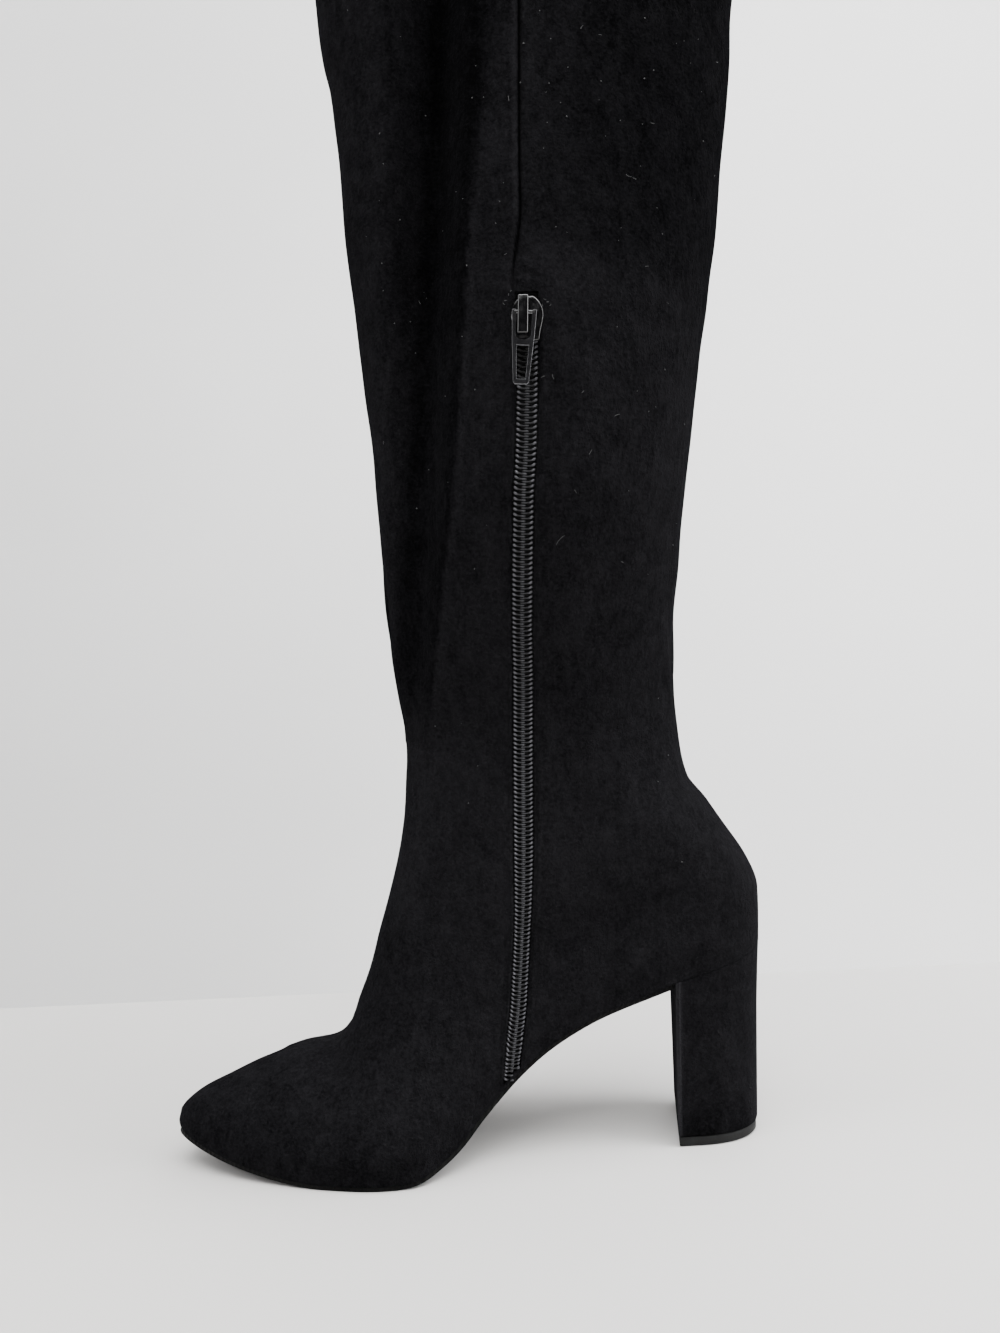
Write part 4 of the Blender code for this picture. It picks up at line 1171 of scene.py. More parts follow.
lining_levels = np.concatenate((np.linspace(COLLAR_Z, SLOT_TOP_Z + 1.5, 50), np.linspace(320.0, ANKLE_Z, 24),
                                foot_levels[2:-2:2], [LINING_FOOT]))
lining, lining_out, _, _ = shell_points(lining_levels, LINING_FINE, *LINING_COLUMNS)
bm = grid_of(lining - lining_out * LINING_DEPTH)
slot_columns = [LINING_COLUMNS[0] + LINING_FINE.index(edge) for edge in LINING_SLOT]
cut_slot(bm, lining_levels, lining.shape[1], slot_columns, len(lining_levels) - 1)
thicken(finish(bm, "knit_lining", lining_look(), replaces=("upper",)), LINING_THICK)

# %% [markdown]
# ## Sole, sock and heel
# The outsole follows the upper's outline, so its rows are laid between the outline's two sides and
# given a thickness. The heel is a loft: one outline under the seat, one at the floor, and rings
# between them that narrow soonest under the seat.

# %% Sizes under the foot
SOLE_INSET = 1.0
HEEL_INSET = 0.6
INSOLE_INSET = 3.6
INSOLE_THICK = 2.0
SOCK_LIFT = 5.0                # top of the sock over the turned-in margin
HEEL_TIP_FRONT = -18.2
HEEL_TIP_BACK = 19.2
HEEL_TIP_HALF = 20.0
HEEL_TIP_ROUND = (0.74, 2.2)   # reach, as a share of the tip's length, and power
HEEL_TAPER = 0.8               # below 1, the heel narrows soonest under the seat
SEAT_TURN = 0.19               # the breast stands further back outside, per mm of width
TIP_TURN = 0.21
TOP_PIECE_THICK = 3.8
SOLE_END_GAP = 1.2
SHEET_COLUMNS = 14
LENGTH = HEEL_X - TOE_X


def breast_share(side):
    """Share of the sole's length where its edge meets the heel's breast."""
    edge = outline_points((BREAST_X - TOE_X) / LENGTH, side, HEEL_INSET, 0.0)
    return float((BREAST_X + SEAT_TURN * (edge[1] + HEEL_TIP_HALF) - TOE_X) / LENGTH)


print("the heel's breast stands at share", round(breast_share(-1.0), 3), "of the sole inside")

# %% Outsole and sock


def sheet_points(inset, lift, shares):
    """Rows of points between the sole's inner and outer outline."""
    inner = outline_points(shares(-1.0), -1.0, inset, lift)
    outer = outline_points(shares(1.0), 1.0, inset, lift)
    t = np.linspace(0.0, 1.0, SHEET_COLUMNS)[None, :, None]
    return inner[:, None, :] * (1 - t) + outer[:, None, :] * t


def sole_sheet(name, finish_look, replaces, points, thick, edge):
    """A sheet laid through points, thick mm deep under them, with rounded edges."""
    bm = grid_of(points)
    bmesh.ops.remove_doubles(bm, verts=bm.verts, dist=0.01)
    piece = finish(faced(bm, (0.0, 0.0, 1.0)), name, finish_look, replaces=replaces, smooth=60.0)
    thicken(piece, thick)
    rounded = piece.modifiers.new("rounded_edge", "BEVEL")
    rounded.width = edge * MM
    rounded.segments = 2
    rounded.limit_method = "ANGLE"
    rounded.angle_limit = math.radians(60)


def tread_look(name, dark, pale):
    """Outsole rubber with a fine slanting tread, as low ribs in the bump."""
    made = look(name, dark, Roughness=0.7, Specular_IOR_Level=0.06)
    ribs = wave(made, "X", 0.16, place_nodes(made, turn=(0.0, 0.0, 0.5)))
    grain = noise(made, 0.3, 2.0, 0.6)
    scuffs = remap(made, noise(made, 14.0, 4.0, 0.7), 0.40, 0.72)
    wire(made, blend(made, calc(made, "MULTIPLY", scuffs, 0.8), dark, pale), "Base Color")
    bump(made, (ribs, 0.25), (grain, 0.05))
    return made


def outsole_shares(side):
    """Rows of the outsole, close together at the toe, the last along the heel's breast."""
    end = breast_share(side) - SOLE_END_GAP / LENGTH
    return end * (1 - np.cos(np.pi / 2 * np.linspace(0.0, 1.0, 110)))


def insole_shares(_side):
    """Rows of the insole, close together at both ends and the same on both sides."""
    return (1 - np.cos(np.pi * np.linspace(0.0, 1.0, 90))) / 2


sole_rubber = tread_look("sole_rubber", (0.0022, 0.0022, 0.0022), (0.0075, 0.0074, 0.0070))
sock_cloth = lining_look()
sock_cloth.name = "sock_cloth"
sole_sheet("outsole_sheet", sole_rubber, ("outsole",),
           sheet_points(SOLE_INSET, -CURVED_GAP, outsole_shares), SOLE_THICK, 0.5)
sole_sheet("insole_sock", sock_cloth, ("insole",),
           sheet_points(INSOLE_INSET, SOCK_LIFT, insole_shares), INSOLE_THICK, 0.4)

# %% Rings of the heel
HEEL_POINTS = 22               # from the breast edge to the back, on each side
HEEL_CORNER_STEPS = (0.022, 0.036, 0.050)      # extra points beside the breast edge


def heel_shares():
    """Side and share of the heel's length, from the inner breast edge round to the outer."""
    turn = np.sin(np.pi / 2 * np.arange(HEEL_POINTS + 1) / HEEL_POINTS)
    turn = np.concatenate(([0.0], HEEL_CORNER_STEPS, turn[1:]))
    side = np.concatenate((np.full(len(turn), -1.0), np.full(len(turn) - 1, 1.0)))
    return side, np.concatenate((turn, turn[-2::-1]))


def seat_outline(grow):
    """The heel's outline right under the seat, grown by some millimetres."""
    side, turn = heel_shares()
    front = np.where(side < 0, breast_share(-1.0), breast_share(1.0))
    edge = ring_point(FEATHER_LEVEL, front + (1 - front) * turn, side)
    return inset_points(edge, np.full(len(turn), HEEL_INSET - grow), -CURVED_GAP)


def tip_outline(shrink=0.0):
    """The heel's outline at the floor, in the same order."""
    side, turn = heel_shares()
    scale = 1 - shrink / HEEL_TIP_HALF
    half = HEEL_TIP_HALF * rounding((1 - turn) / HEEL_TIP_ROUND[0], HEEL_TIP_ROUND[1])
    front_x = HEEL_TIP_FRONT + TIP_TURN * HEEL_TIP_HALF * (side + 1)
    x = front_x + (HEEL_TIP_BACK - front_x) * turn
    return np.stack((x * scale, side * half * scale, 0.0 * x), axis=-1)


def loft(rings):
    """A closed solid through rings with the same number of points: loops bridged from ring to ring."""
    bm = bmesh.new()
    loops = []
    for ring in rings:
        made = bmesh.ops.create_circle(bm, segments=len(ring), radius=1.0)["verts"]
        for vert, point in zip(made, ring):
            vert.co = point
        loops.append([edge for edge in bm.edges if edge.verts[0] in made and edge.verts[1] in made])
    bmesh.ops.contextual_create(bm, geom=loops[0])
    bmesh.ops.contextual_create(bm, geom=loops[-1])
    for above, below in zip(loops, loops[1:]):
        bmesh.ops.bridge_loops(bm, edges=above + below)
    bmesh.ops.recalc_face_normals(bm, faces=bm.faces)
    return bm


HEEL_FOOT = TOP_PIECE_THICK + 0.3      # the cover ends just over the top piece


def heel_ring(step, grow=0.0, lift=0.0):
    """One ring of the heel between its seat at 0 and its foot at 1."""
    seat = seat_outline(grow)
    ring = seat + (tip_outline() - seat) * step ** HEEL_TAPER
    ring[:, 2] = seat[:, 2] + (HEEL_FOOT - seat[:, 2]) * step + lift
    return ring


HEEL_FLARE = 0.52              # the cover swells to the skin's face just under the seat
HEEL_FLARE_REACH = 0.35        # down to this share of the heel
heel_rings = [heel_ring(0.0, grow=-0.25, lift=0.12), heel_ring(0.0, grow=0.30, lift=0.02)]
for step in np.concatenate(([0.008, 0.03, 0.07], np.linspace(0.12, 0.95, 15))):
    heel_rings.append(heel_ring(step, grow=HEEL_FLARE * max(1.0 - step / HEEL_FLARE_REACH, 0.0)))
breast_corner = np.array([ring[int(np.argmin(ring[:, 0] + ring[:, 1]))] for ring in heel_rings])[::-1]
rear_line = np.array([ring[int(np.argmax(ring[:, 0]))] for ring in heel_rings])[::-1]
foot_ring = heel_ring(1.0)
heel_rings.append(heel_ring(0.985))
heel_rings.append(foot_ring + (foot_ring.mean(axis=0) - foot_ring) * 0.02)     # a rounded lower edge
print("the heel has", len(heel_rings), "rings of", len(foot_ring), "points")

# %% Heel cover
CORNER_ROUND = 0.7             # radius of the corners beside the breast


def heel_shading(points):
    """Painted light on the heel cover: paler along the back and at its rear edge, paler on the breast face,
    and a painted highlight line down the corner of the breast; darker at its foot.
    """
    x, y, z = points.T
    corner = x - np.interp(z, breast_corner[:, 2], breast_corner[:, 0])
    inner = gate(y, -8.0, -16.0)
    line = 1.0 + 0.5 * gate(z, 8.0, 60.0)
    rear = np.interp(z, rear_line[:, 2], rear_line[:, 0]) - x
    # painted light along the back and at the rear edge, on the breast face, and a painted highlight line
    # down its corner
    nap_and_shading = 0.62 + 0.22 * gate(x, 9.0, 18.0) + 0.70 * gate(rear, 1.6, 0.3) + 1.00 * gate(corner, 0.6, 0.1)
    nap_and_shading = nap_and_shading + 1.30 * inner * bell(corner - line, 0.5) - 0.12 * inner * bell(corner - 6.0, 2.6)
    return nap_and_shading - 0.18 * gate(z, 24.0, 8.0) * gate(x, 16.0, 9.0)


bm = loft(heel_rings)
corners = [edge for edge in bm.edges if edge.is_manifold and edge.calc_face_angle() > math.radians(40)
           and abs(edge.verts[0].co.z - edge.verts[1].co.z) > 0.4]
bmesh.ops.bevel(bm, geom=corners, offset=CORNER_ROUND, segments=4, profile=0.5, affect="EDGES",
                material=-1, clamp_overlap=True)
paint_on(bm, SHADING_AND_NAP, heel_shading)
finish(bm, "heel_cover", heel_suede, replaces=("heel_block",), smooth=50.0)

# %% Top piece


def rubber_look(name, dark, pale, rough):
    """Moulded rubber: fine grain, a few scuffed patches."""
    made = look(name, dark, Roughness=rough, Specular_IOR_Level=0.12)
    scuffs = remap(made, noise(made, 9.0, 4.0, 0.7, (1.0, 2.2, 1.0)), 0.45, 0.75)
    grain = noise(made, 0.35, 2.0, 0.6)
    wire(made, blend(made, calc(made, "MULTIPLY", scuffs, 0.8), dark, pale), "Base Color")
    wire(made, remap(made, scuffs, 0.0, 1.0, rough, rough + 0.2), "Roughness")
    bump(made, (scuffs, 0.10), (grain, 0.05))
    return made


top_rubber = rubber_look("top_rubber", (0.008, 0.008, 0.008), (0.020, 0.021, 0.021), 0.6)
side_print = tip_outline(shrink=0.6)
edge_print = tip_outline(shrink=1.1)           # its top and bottom edges are chamfered
up = np.array((0.0, 0.0, 1.0))
bm = loft([edge_print + up * TOP_PIECE_THICK, side_print + up * (TOP_PIECE_THICK - 0.4),
           side_print + up * 0.5, edge_print])
finish(bm, "heel_top_rubber", top_rubber, replaces=("heel_top_piece",), smooth=60.0)

# %% [markdown]
# ## Coil zip
# A coil zip is one plastic thread bent into loops on each tape; the loops of one side sit between
# those of the other. One loop is a short bent tube. It is repeated along a straight line first,
# half a pitch apart on the two sides, and the whole line is then laid on the leg.

# %% One loop of the coil
COIL_PATH = (                  # across from the middle, up the zip, out of it, radius of the thread
    (-0.66, 0.02, -0.18, 0.24), (-0.54, 0.02, 0.12, 0.34), (-0.20, 0.00, 0.34, 0.36),
    (0.35, 0.00, 0.34, 0.34), (1.00, 0.02, 0.18, 0.30), (1.65, 0.06, 0.10, 0.30),
    (2.25, 0.18, 0.20, 0.34), (2.75, 0.38, 0.38, 0.42), (3.15, 0.62, 0.34, 0.46),
    (3.40, 0.82, 0.02, 0.42), (3.30, 0.90, -0.40, 0.34), (2.60, 0.85, -0.62, 0.28),
)
SHINE = "shine"                # painted highlight on the coil's thread, with painted shade under the tab


def coil_loop(side):
    """One loop of the coil: a head in the middle, the back of the loop and the raised outer bend."""
    path = [(side * across, up, out) for across, up, out, _ in COIL_PATH]
    return tube(path, [radius for _, _, _, radius in COIL_PATH], sides=7)


def coil_shine(points):
    """Painted highlight on the thread: at its outer bend and on its head, on its raised side, dimmer near
    the slider, with painted shade under the tab.
    """
    across, height, out = points.T
    a = np.abs(across)
    head = np.where(across.mean() < 0, 0.40, 0.12)
    highlight_share = np.clip(bell(a - 3.0, 0.50) + head * bell(a - 0.05, 0.40) + 0.22, 0.0, 1.0)
    highlight_share *= 0.72 + 0.28 * gate(height, -30.0, -60.0)
    # painted shade where the tab hangs over the chain
    covered = gate(height, -22.5, -19.0) * gate(across, 2.6, 1.9)
    return gate(out, -0.1, 0.6) * highlight_share * (1.0 - 0.95 * covered)


def plastic_look(name, dark, pale):
    """Drawn nylon: black, with a painted highlight that is paler and smoother where the painted value says,
    patchy through a noise.
    """
    made = look(name, dark, Roughness=0.3, Specular_IOR_Level=0.30)
    patchy = remap(made, noise(made, 1.4, 3.0, 0.6), 0.30, 0.7, 0.6, 1.0)
    highlight_share = calc(made, "MULTIPLY", painted(made, SHINE), patchy)
    wire(made, blend(made, highlight_share, dark, pale), "Base Color")
    wire(made, remap(made, highlight_share, 0.0, 1.0, 0.85, 0.22), "Roughness")
    bump(made, (noise(made, 0.25, 1.0, 0.5), 0.02))
    return made


print("a loop is a tube through", len(COIL_PATH), "points")

# %% The two chains
PITCHES = Table(               # height along the zip, distance between the loops there
    "height pitch",
    (10.0, 1.86), (-60.0, 1.86), (-97.0, 1.77), (-133.0, 1.71), (-170.0, 1.675), (-237.0, 1.655),
    (-285.0, 1.65),
)
COIL_DEPTH = 0.95              # the coils' middle under the suede face
NECK_UP = 5.2                  # the slider's neck is this far over its middle
COIL_TOP_Y = NECK_UP - 1.6     # the chains end under the neck
CHAIN_END_Y = ZIP_END_Y - 0.3


def pitch_at(height):
    """Distance from a loop to the next one below it."""
    return float(PITCHES.smooth("pitch", np.array([height]))[0])


def coil_places(start, end, ahead):
    """Places of the loops from the top down: the pitch closes up a little towards the foot."""
    places = []
    height = end - ahead * pitch_at(end)
    while height > start:
        places.append((0.0, float(height), 0.0))
        height -= pitch_at(height)
    return places


coil_plastic = plastic_look("coil_plastic", (0.0006, 0.0006, 0.0008), (0.068, 0.068, 0.077))
for word, side in (("front", -1.0), ("back", 1.0)):
    end = CHAIN_END_Y + side * (1.75 + float(ZIP_SLOPE[-1]))
    bm = repeated(coil_loop(side), coil_places(end, COIL_TOP_Y, 0.5 if side > 0 else 0.0))
    # painted highlights on the loops, and painted shade under the tab
    paint_on(bm, SHINE, coil_shine)
    moved(bm, lambda points: lay_on_zip(squared_up(points - np.array((0.0, 0.0, COIL_DEPTH)))))
    finish(bm, "coil_" + word, coil_plastic, replaces=("zip_coil_" + word,), smooth=80.0)

# %% [markdown]
# ## Zip tape
# The tape is a narrow woven band that carries the coil. It is a flat strip with ribs along it, so
# a grid is enough; the herringbone weave is fine and goes into the bump.

# %% Tapes
TAPE_DEPTH = 2.5
TAPE_THICK = 0.5
TAPE_HALF = 11.0
NECK_HALF = 1.2


def tape_look():
    """Woven polyester tape: cross ribs with a fine twill."""
    made = look("woven_tape", (0.004, 0.004, 0.0045), Roughness=0.8, Sheen_Weight=0.04, Sheen_Roughness=0.4,
                Specular_IOR_Level=0.2)
    where = made.node_tree.nodes.new("ShaderNodeUVMap")
    where.uv_map = "tape"
    ribs = wave(made, "Y", 0.45, where.outputs["UV"])
    weave = calc(made, "MULTIPLY", ribs, wave(made, "DIAGONAL", 0.9, where.outputs["UV"]))
    wire(made, blend(made, weave, (0.0015, 0.0015, 0.0017), (0.006, 0.006, 0.007)), "Base Color")
    bump(made, (weave, 0.15))
    return made


def tape_strip(side):
    """A strip of tape with its own UV map in millimetres across and along."""
    heights = np.linspace(ZIP_END_Y + 0.2, ZIP_TOP_Y - 0.5, 150)
    inner = np.where(heights > COIL_TOP_Y, NECK_HALF + 0.6, 0.25)
    t = np.linspace(0.0, 1.0, 7)[None, :]
    across = inner[:, None] + (TAPE_HALF - inner[:, None]) * t
    flat = np.stack((side * across, heights[:, None] + 0.0 * across, 0.0 * across - TAPE_DEPTH), axis=-1)
    bm = grid_of(flat)
    layer = bm.loops.layers.uv.new("tape")
    for face in bm.faces:
        for corner in face.loops:
            corner[layer].uv = corner.vert.co.xy
    return faced(moved(bm, lay_on_zip), (0.0, -1.0, 0.0))


woven_tape = tape_look()
for word, side in (("front", -1.0), ("back", 1.0)):
    tape = finish(tape_strip(side), "tape_" + word, woven_tape, replaces=("zip_tape_" + word,))
    thicken(tape, TAPE_THICK)

# %% [markdown]
# ## Stitches beside the zip
# The turned edge of the suede is sewn down on both sides of the zip. A stitch is a short fat
# thread that dips at both ends. One is made, repeated along the straight zip and laid on the leg.

# %% Stitches
STITCH_RADIUS = 0.13
STITCH_OUT = 0.14
STITCH_START = ZIP_END_Y + 3.0


def stitch():
    """One stitch along the zip, its ends sunk into the suede."""
    reach = STITCH_PITCH * 0.42
    path = [(0.0, -reach, -0.22), (0.0, -reach * 0.8, 0.05), (0.0, -reach * 0.3, 0.16),
            (0.0, reach * 0.3, 0.16), (0.0, reach * 0.8, 0.05), (0.0, reach, -0.22)]
    return tube(path, STITCH_RADIUS, sides=6)


def thread_look(name, dark, pale):
    """Spun sewing thread."""
    made = look(name, (0.004, 0.004, 0.0045), Roughness=0.85, Specular_IOR_Level=0.03)
    wire(made, blend(made, noise(made, 0.6, 2.0, 0.6), dark, pale), "Base Color")
    bump(made, (noise(made, 0.2, 1.0, 0.5, (1.0, 1.0, 0.3)), 0.04))
    return made


black_thread = thread_look("black_thread", (0.0010, 0.0010, 0.0012), (0.006, 0.006, 0.0065))
heights = [STITCH_START + i * STITCH_PITCH for i in range(int((ZIP_TOP_Y - STITCH_START) / STITCH_PITCH))]
bm = repeated(stitch(), [(side * STITCH_ACROSS, y, STITCH_OUT) for side in (-1.0, 1.0) for y in heights])
moved(bm, lay_on_zip)
finish(bm, "zip_stitches", black_thread, smooth=80.0)

# %% [markdown]
# ## Lint
# Black suede shows every bit of dust. Most specks are only a third of a millimetre, so they are
# small flattened balls, with a few short fibres among them, scattered over the leg from a seeded
# list, denser towards the top. All of them are one mesh.

# %% A speck, a fibre and a place for them
FIBRE_RADIUS = 0.075


def speck(size, flat):
    """A tiny flattened ball."""
    bm = bmesh.new()
    bmesh.ops.create_icosphere(bm, subdivisions=1, radius=size)
    bmesh.ops.scale(bm, verts=bm.verts, vec=(1.0, 1.0, flat))
    return bm


def fibre(length, bend, turn):
    """A short curled hair that lies on the suede."""
    t = np.linspace(-0.5, 0.5, 6)
    path = [(float(a * length), float(bend * length * (0.25 - a * a)), 0.0) for a in t]
    bm = tube(path, FIBRE_RADIUS, sides=5)
    bmesh.ops.rotate(bm, verts=bm.verts, cent=(0, 0, 0), matrix=Matrix.Rotation(turn, 3, "Z"))
    return bm


def on_skin(level, share, side):
    """A frame on the skin: X along the ring, Y up, Z outwards."""
    level, share = np.array([level]), np.array([share])
    here = ring_point(level, share, side)[0]
    along = ring_along(level, share, side)[0]
    up = (ring_point(level + 0.8, share, side) - ring_point(level - 0.8, share, side))[0]
    outward = -side * Vector(np.cross(along, up)).normalized()
    along = Vector(along).normalized()
    along = (along - outward * along.dot(outward)).normalized()
    turn = Matrix((along, outward.cross(along), outward)).transposed().to_4x4()
    return Matrix.Translation(Vector(here)) @ turn


def level_at(z, x):
    """Level of the ring that passes a point of the side view."""
    front_x, _ = ring_place(SKIN_LEVELS, np.zeros_like(SKIN_LEVELS))
    share = np.clip((x - front_x) / (BACK_LINE.smooth("x", SKIN_LEVELS) - front_x), 0.0, 1.0)
    _, ring_z = ring_place(SKIN_LEVELS, share)
    best = int(np.argmin(abs(ring_z - z)))
    return float(SKIN_LEVELS[best]), float(share[best])


print("the slider's middle is on ring level and share", [round(v, 2) for v in level_at(SLIDER_Z, -75.6)])

# %% Lint
LINT_SEED = 7
LINT_COUNT = 420
ZIP_CLEAR = 0.10               # share of a ring, beside the open zip, that stays free of lint
LINT_PLACES = (                # lint that is large enough to be placed one by one: x, z, length, turn
    (-64.8, 235.4, 4.6, 0.85), (-67.1, 291.4, 1.8, 1.9), (-70.6, 291.0, 1.4, 0.4),
    (-31.3, 333.5, 1.2, 0.2), (-59.5, 252.0, 1.5, 2.2), (-52.5, 420.5, 1.6, 1.0),
    (-83.0, 319.4, 1.0, 0.2), (-81.8, 321.0, 0.8, 1.4), (-83.6, 317.6, 0.9, 2.3), (-81.0, 322.6, 0.8, 0.7),
    (-71.6, 318.4, 1.1, 0.4), (-70.2, 317.0, 0.9, 1.9), (-69.4, 318.8, 0.8, 2.8), (-71.0, 315.6, 0.9, 1.2),
    (-68.4, 317.6, 0.7, 0.1), (-67.4, 317.2, 0.8, 0.9),
)

rng = np.random.default_rng(LINT_SEED)


def draw(low, high):
    """The next even draw between two numbers."""
    return float(rng.uniform(low, high))


def drawn_lint():
    """One fibre in six, and otherwise a speck, of a size that is drawn."""
    if rng.random() < 0.16:
        return fibre(draw(0.9, 2.2), draw(-0.8, 0.8), draw(0.0, 3.1))
    return speck(draw(0.13, 0.30), 0.6)


def lint_look(name, dark, pale):
    """Pale lint, some of it paler."""
    made = look(name, (0.05, 0.05, 0.052), Roughness=0.9, Sheen_Weight=0.2)
    wire(made, blend(made, noise(made, 30.0, 1.0, 0.5), dark, pale), "Base Color")
    return made


bm = bmesh.new()
for x, z, length, turn in LINT_PLACES:
    add(bm, fibre(length, 0.35, turn), on_skin(*level_at(z, x), -1.0) @ Matrix.Translation((0.0, 0.0, 0.45)))
for _ in range(LINT_COUNT):
    level = float(rng.triangular(90.0, 560.0, 612.0))
    share = draw(0.03, 0.97)
    side = -1.0 if rng.random() < 0.55 else 1.0
    if side < 0 and level < 326.0 and abs(share - float(at_level(level, ZIP_SHARES))) < ZIP_CLEAR:
        continue
    place = on_skin(level, share, side) @ Matrix.Translation((0.0, 0.0, 0.30))
    add(bm, drawn_lint(), place)
pale_lint = lint_look("pale_lint", (0.008, 0.008, 0.009), (0.045, 0.045, 0.047))
finish(bm, "lint", pale_lint, smooth=80.0)

# %% [markdown]
# ## Slider and pull tab
# Both are die cast and painted black. The slider keeps its place at the top of the closed zip.
# The tab is a piece of its own, because it swings on the slider's bridge.

# %% Frames of the slider and of the tab


def upright(at, across, inward):
    """A frame in millimetres: X across the zip, Y into the leg, Z up."""
    turn = Matrix((across, inward, across.cross(inward))).transposed().to_4x4()
    return Matrix.Translation(at) @ turn


def slider_frame():
    """The frame on the suede over the zip where the slider sits."""
    _, _, here, outward, _ = zip_axes(np.array([SLIDER_Z, SLIDER_Z + 6.0, SLIDER_Z - 6.0]))
    inward = -Vector(outward[0])
    up = Vector(here[1] - here[2])
    up = (up - inward * up.dot(inward)).normalized()
    return upright(Vector(here[0]), inward.cross(up), inward)


def tab_frame():
    """The frame of the hanging tab, from its joint: X along the bar, Y into the leg."""
    joint = frame["joints"][0]
    along = -Vector(joint["axis"]).normalized()
    inward = Vector((0.0, 0.0, 1.0)).cross(along).normalized()
    return upright(Vector(joint["pos_m"]) / MM, along, inward)


SLIDER_FRAME = slider_frame()
TAB_FRAME = tab_frame()
for word, place in (("slider", SLIDER_FRAME), ("tab", TAB_FRAME)):
    print(word, "at", [round(v, 1) for v in place.translation])

# %% Plates, blocks and bars


def plate(rows, front, back):
    """A flat plate from rows of (height, half width), between two depths."""
    outline = [(half, z) for z, half in rows]
    outline = outline + [(-x, z) for x, z in reversed(outline)]
    bm = bmesh.new()
    ring = bmesh.ops.create_circle(bm, cap_ends=True, segments=len(outline), radius=1.0)["verts"]
    for vert, (x, z) in zip(ring, outline):
        vert.co = (x, front, z)
    grown = bmesh.ops.extrude_face_region(bm, geom=bm.faces[:])
    far = [item for item in grown["geom"] if isinstance(item, bmesh.types.BMVert)]
    bmesh.ops.translate(bm, verts=far, vec=(0.0, back - front, 0.0))
    bmesh.ops.recalc_face_normals(bm, faces=bm.faces)
    return bm


def block(centre, size):
    """A plain box."""
    bm = bmesh.new()
    bmesh.ops.create_cube(bm, size=1.0)
    bmesh.ops.scale(bm, verts=bm.verts, vec=size)
    bmesh.ops.translate(bm, verts=bm.verts, vec=centre)
    return bm


def bar(centre, radius, length):
    """A round bar along X."""
    bm = bmesh.new()
    bmesh.ops.create_cone(bm, cap_ends=True, segments=24, radius1=radius, radius2=radius, depth=length)
    bmesh.ops.rotate(bm, verts=bm.verts, cent=(0, 0, 0), matrix=Matrix.Rotation(math.pi / 2, 3, "Y"))
    bmesh.ops.translate(bm, verts=bm.verts, vec=centre)
    return bm


def softened(bm, width, segments=2, sharp=35.0):
    """Round the edges that are sharper than an angle."""
    edges = [edge for edge in bm.edges if edge.is_manifold and edge.calc_face_angle() > math.radians(sharp)]
    bmesh.ops.bevel(bm, geom=edges, offset=width, segments=segments, profile=0.5, affect="EDGES",
                    material=-1, clamp_overlap=True)
    return bm


sample = softened(block((0.0, 0.0, 0.0), (1.0, 1.0, 1.0)), 0.1)
print("a block with rounded edges has", len(sample.faces), "faces")
sample.free()

# %% Joining and cutting solids


def carved(bm, *tools):
    """Boolean steps on a shape: tools are (bmesh, operation) pairs. Returns a new bmesh."""
    body = put_in_scene("temporary", mesh_of(bm, "temporary"))
    others = []
    for tool, operation in tools:
        other = put_in_scene("temporary", mesh_of(tool, "temporary"))
        others.append(other)
        step = body.modifiers.new("step", "BOOLEAN")
        step.operation = operation
        step.object = other
        step.solver = "EXACT"
    bpy.context.view_layer.update()
    result = body.evaluated_get(bpy.context.evaluated_depsgraph_get()).to_mesh()
    done = bmesh.new()
    done.from_mesh(result)
    for used in [body] + others:
        mesh = used.data
        bpy.data.objects.remove(used)
        bpy.data.meshes.remove(mesh)
    bmesh.ops.remove_doubles(done, verts=done.verts, dist=0.002)
    bmesh.ops.recalc_face_normals(done, faces=done.faces)
    return done


sample = carved(block((0.0, 0.0, 0.0), (1.0, 1.0, 1.0)), (bar((0.0, 0.0, 0.0), 0.2, 2.0), "DIFFERENCE"))
print("a drilled block has", len(sample.faces), "faces")
sample.free()

# %% Black enamel
EDGE_GLINT = "glinting"                  # painted highlight along the tab's front edges


def metal_look(name, dark, pale, glint_colour):
    """Black enamel on cast metal: deep gloss with faint smudges, and a painted highlight where the painted
    value says so.
    """
    made = look(name, dark, Roughness=0.2, Specular_IOR_Level=0.6)
    smudges = remap(made, noise(made, 2.2, 3.0, 0.6), 0.4, 0.7)
    uneven = remap(made, noise(made, 1.6, 2.0, 0.6), 0.3, 0.6, 0.55, 1.0)
    glinting = calc(made, "MULTIPLY", painted(made, EDGE_GLINT), uneven)
    wire(made, blend(made, glinting, blend(made, smudges, dark, pale), glint_colour), "Base Color")
    wire(made, remap(made, smudges, 0.0, 1.0, 0.14, 0.26), "Roughness")
    bump(made, (noise(made, 0.6, 2.0, 0.5), 0.01))
    return made


ENAMEL_DARK = (0.0008, 0.0008, 0.0010)
ENAMEL_PALE = (0.0022, 0.0022, 0.0025)
# colour of the painted highlight on the edges
EDGE_GLINT_COLOUR = (0.26, 0.26, 0.28)
black_enamel = metal_look("black_enamel", ENAMEL_DARK, ENAMEL_PALE, EDGE_GLINT_COLOUR)
print("enamel is ready, worn through to", EDGE_GLINT_COLOUR)

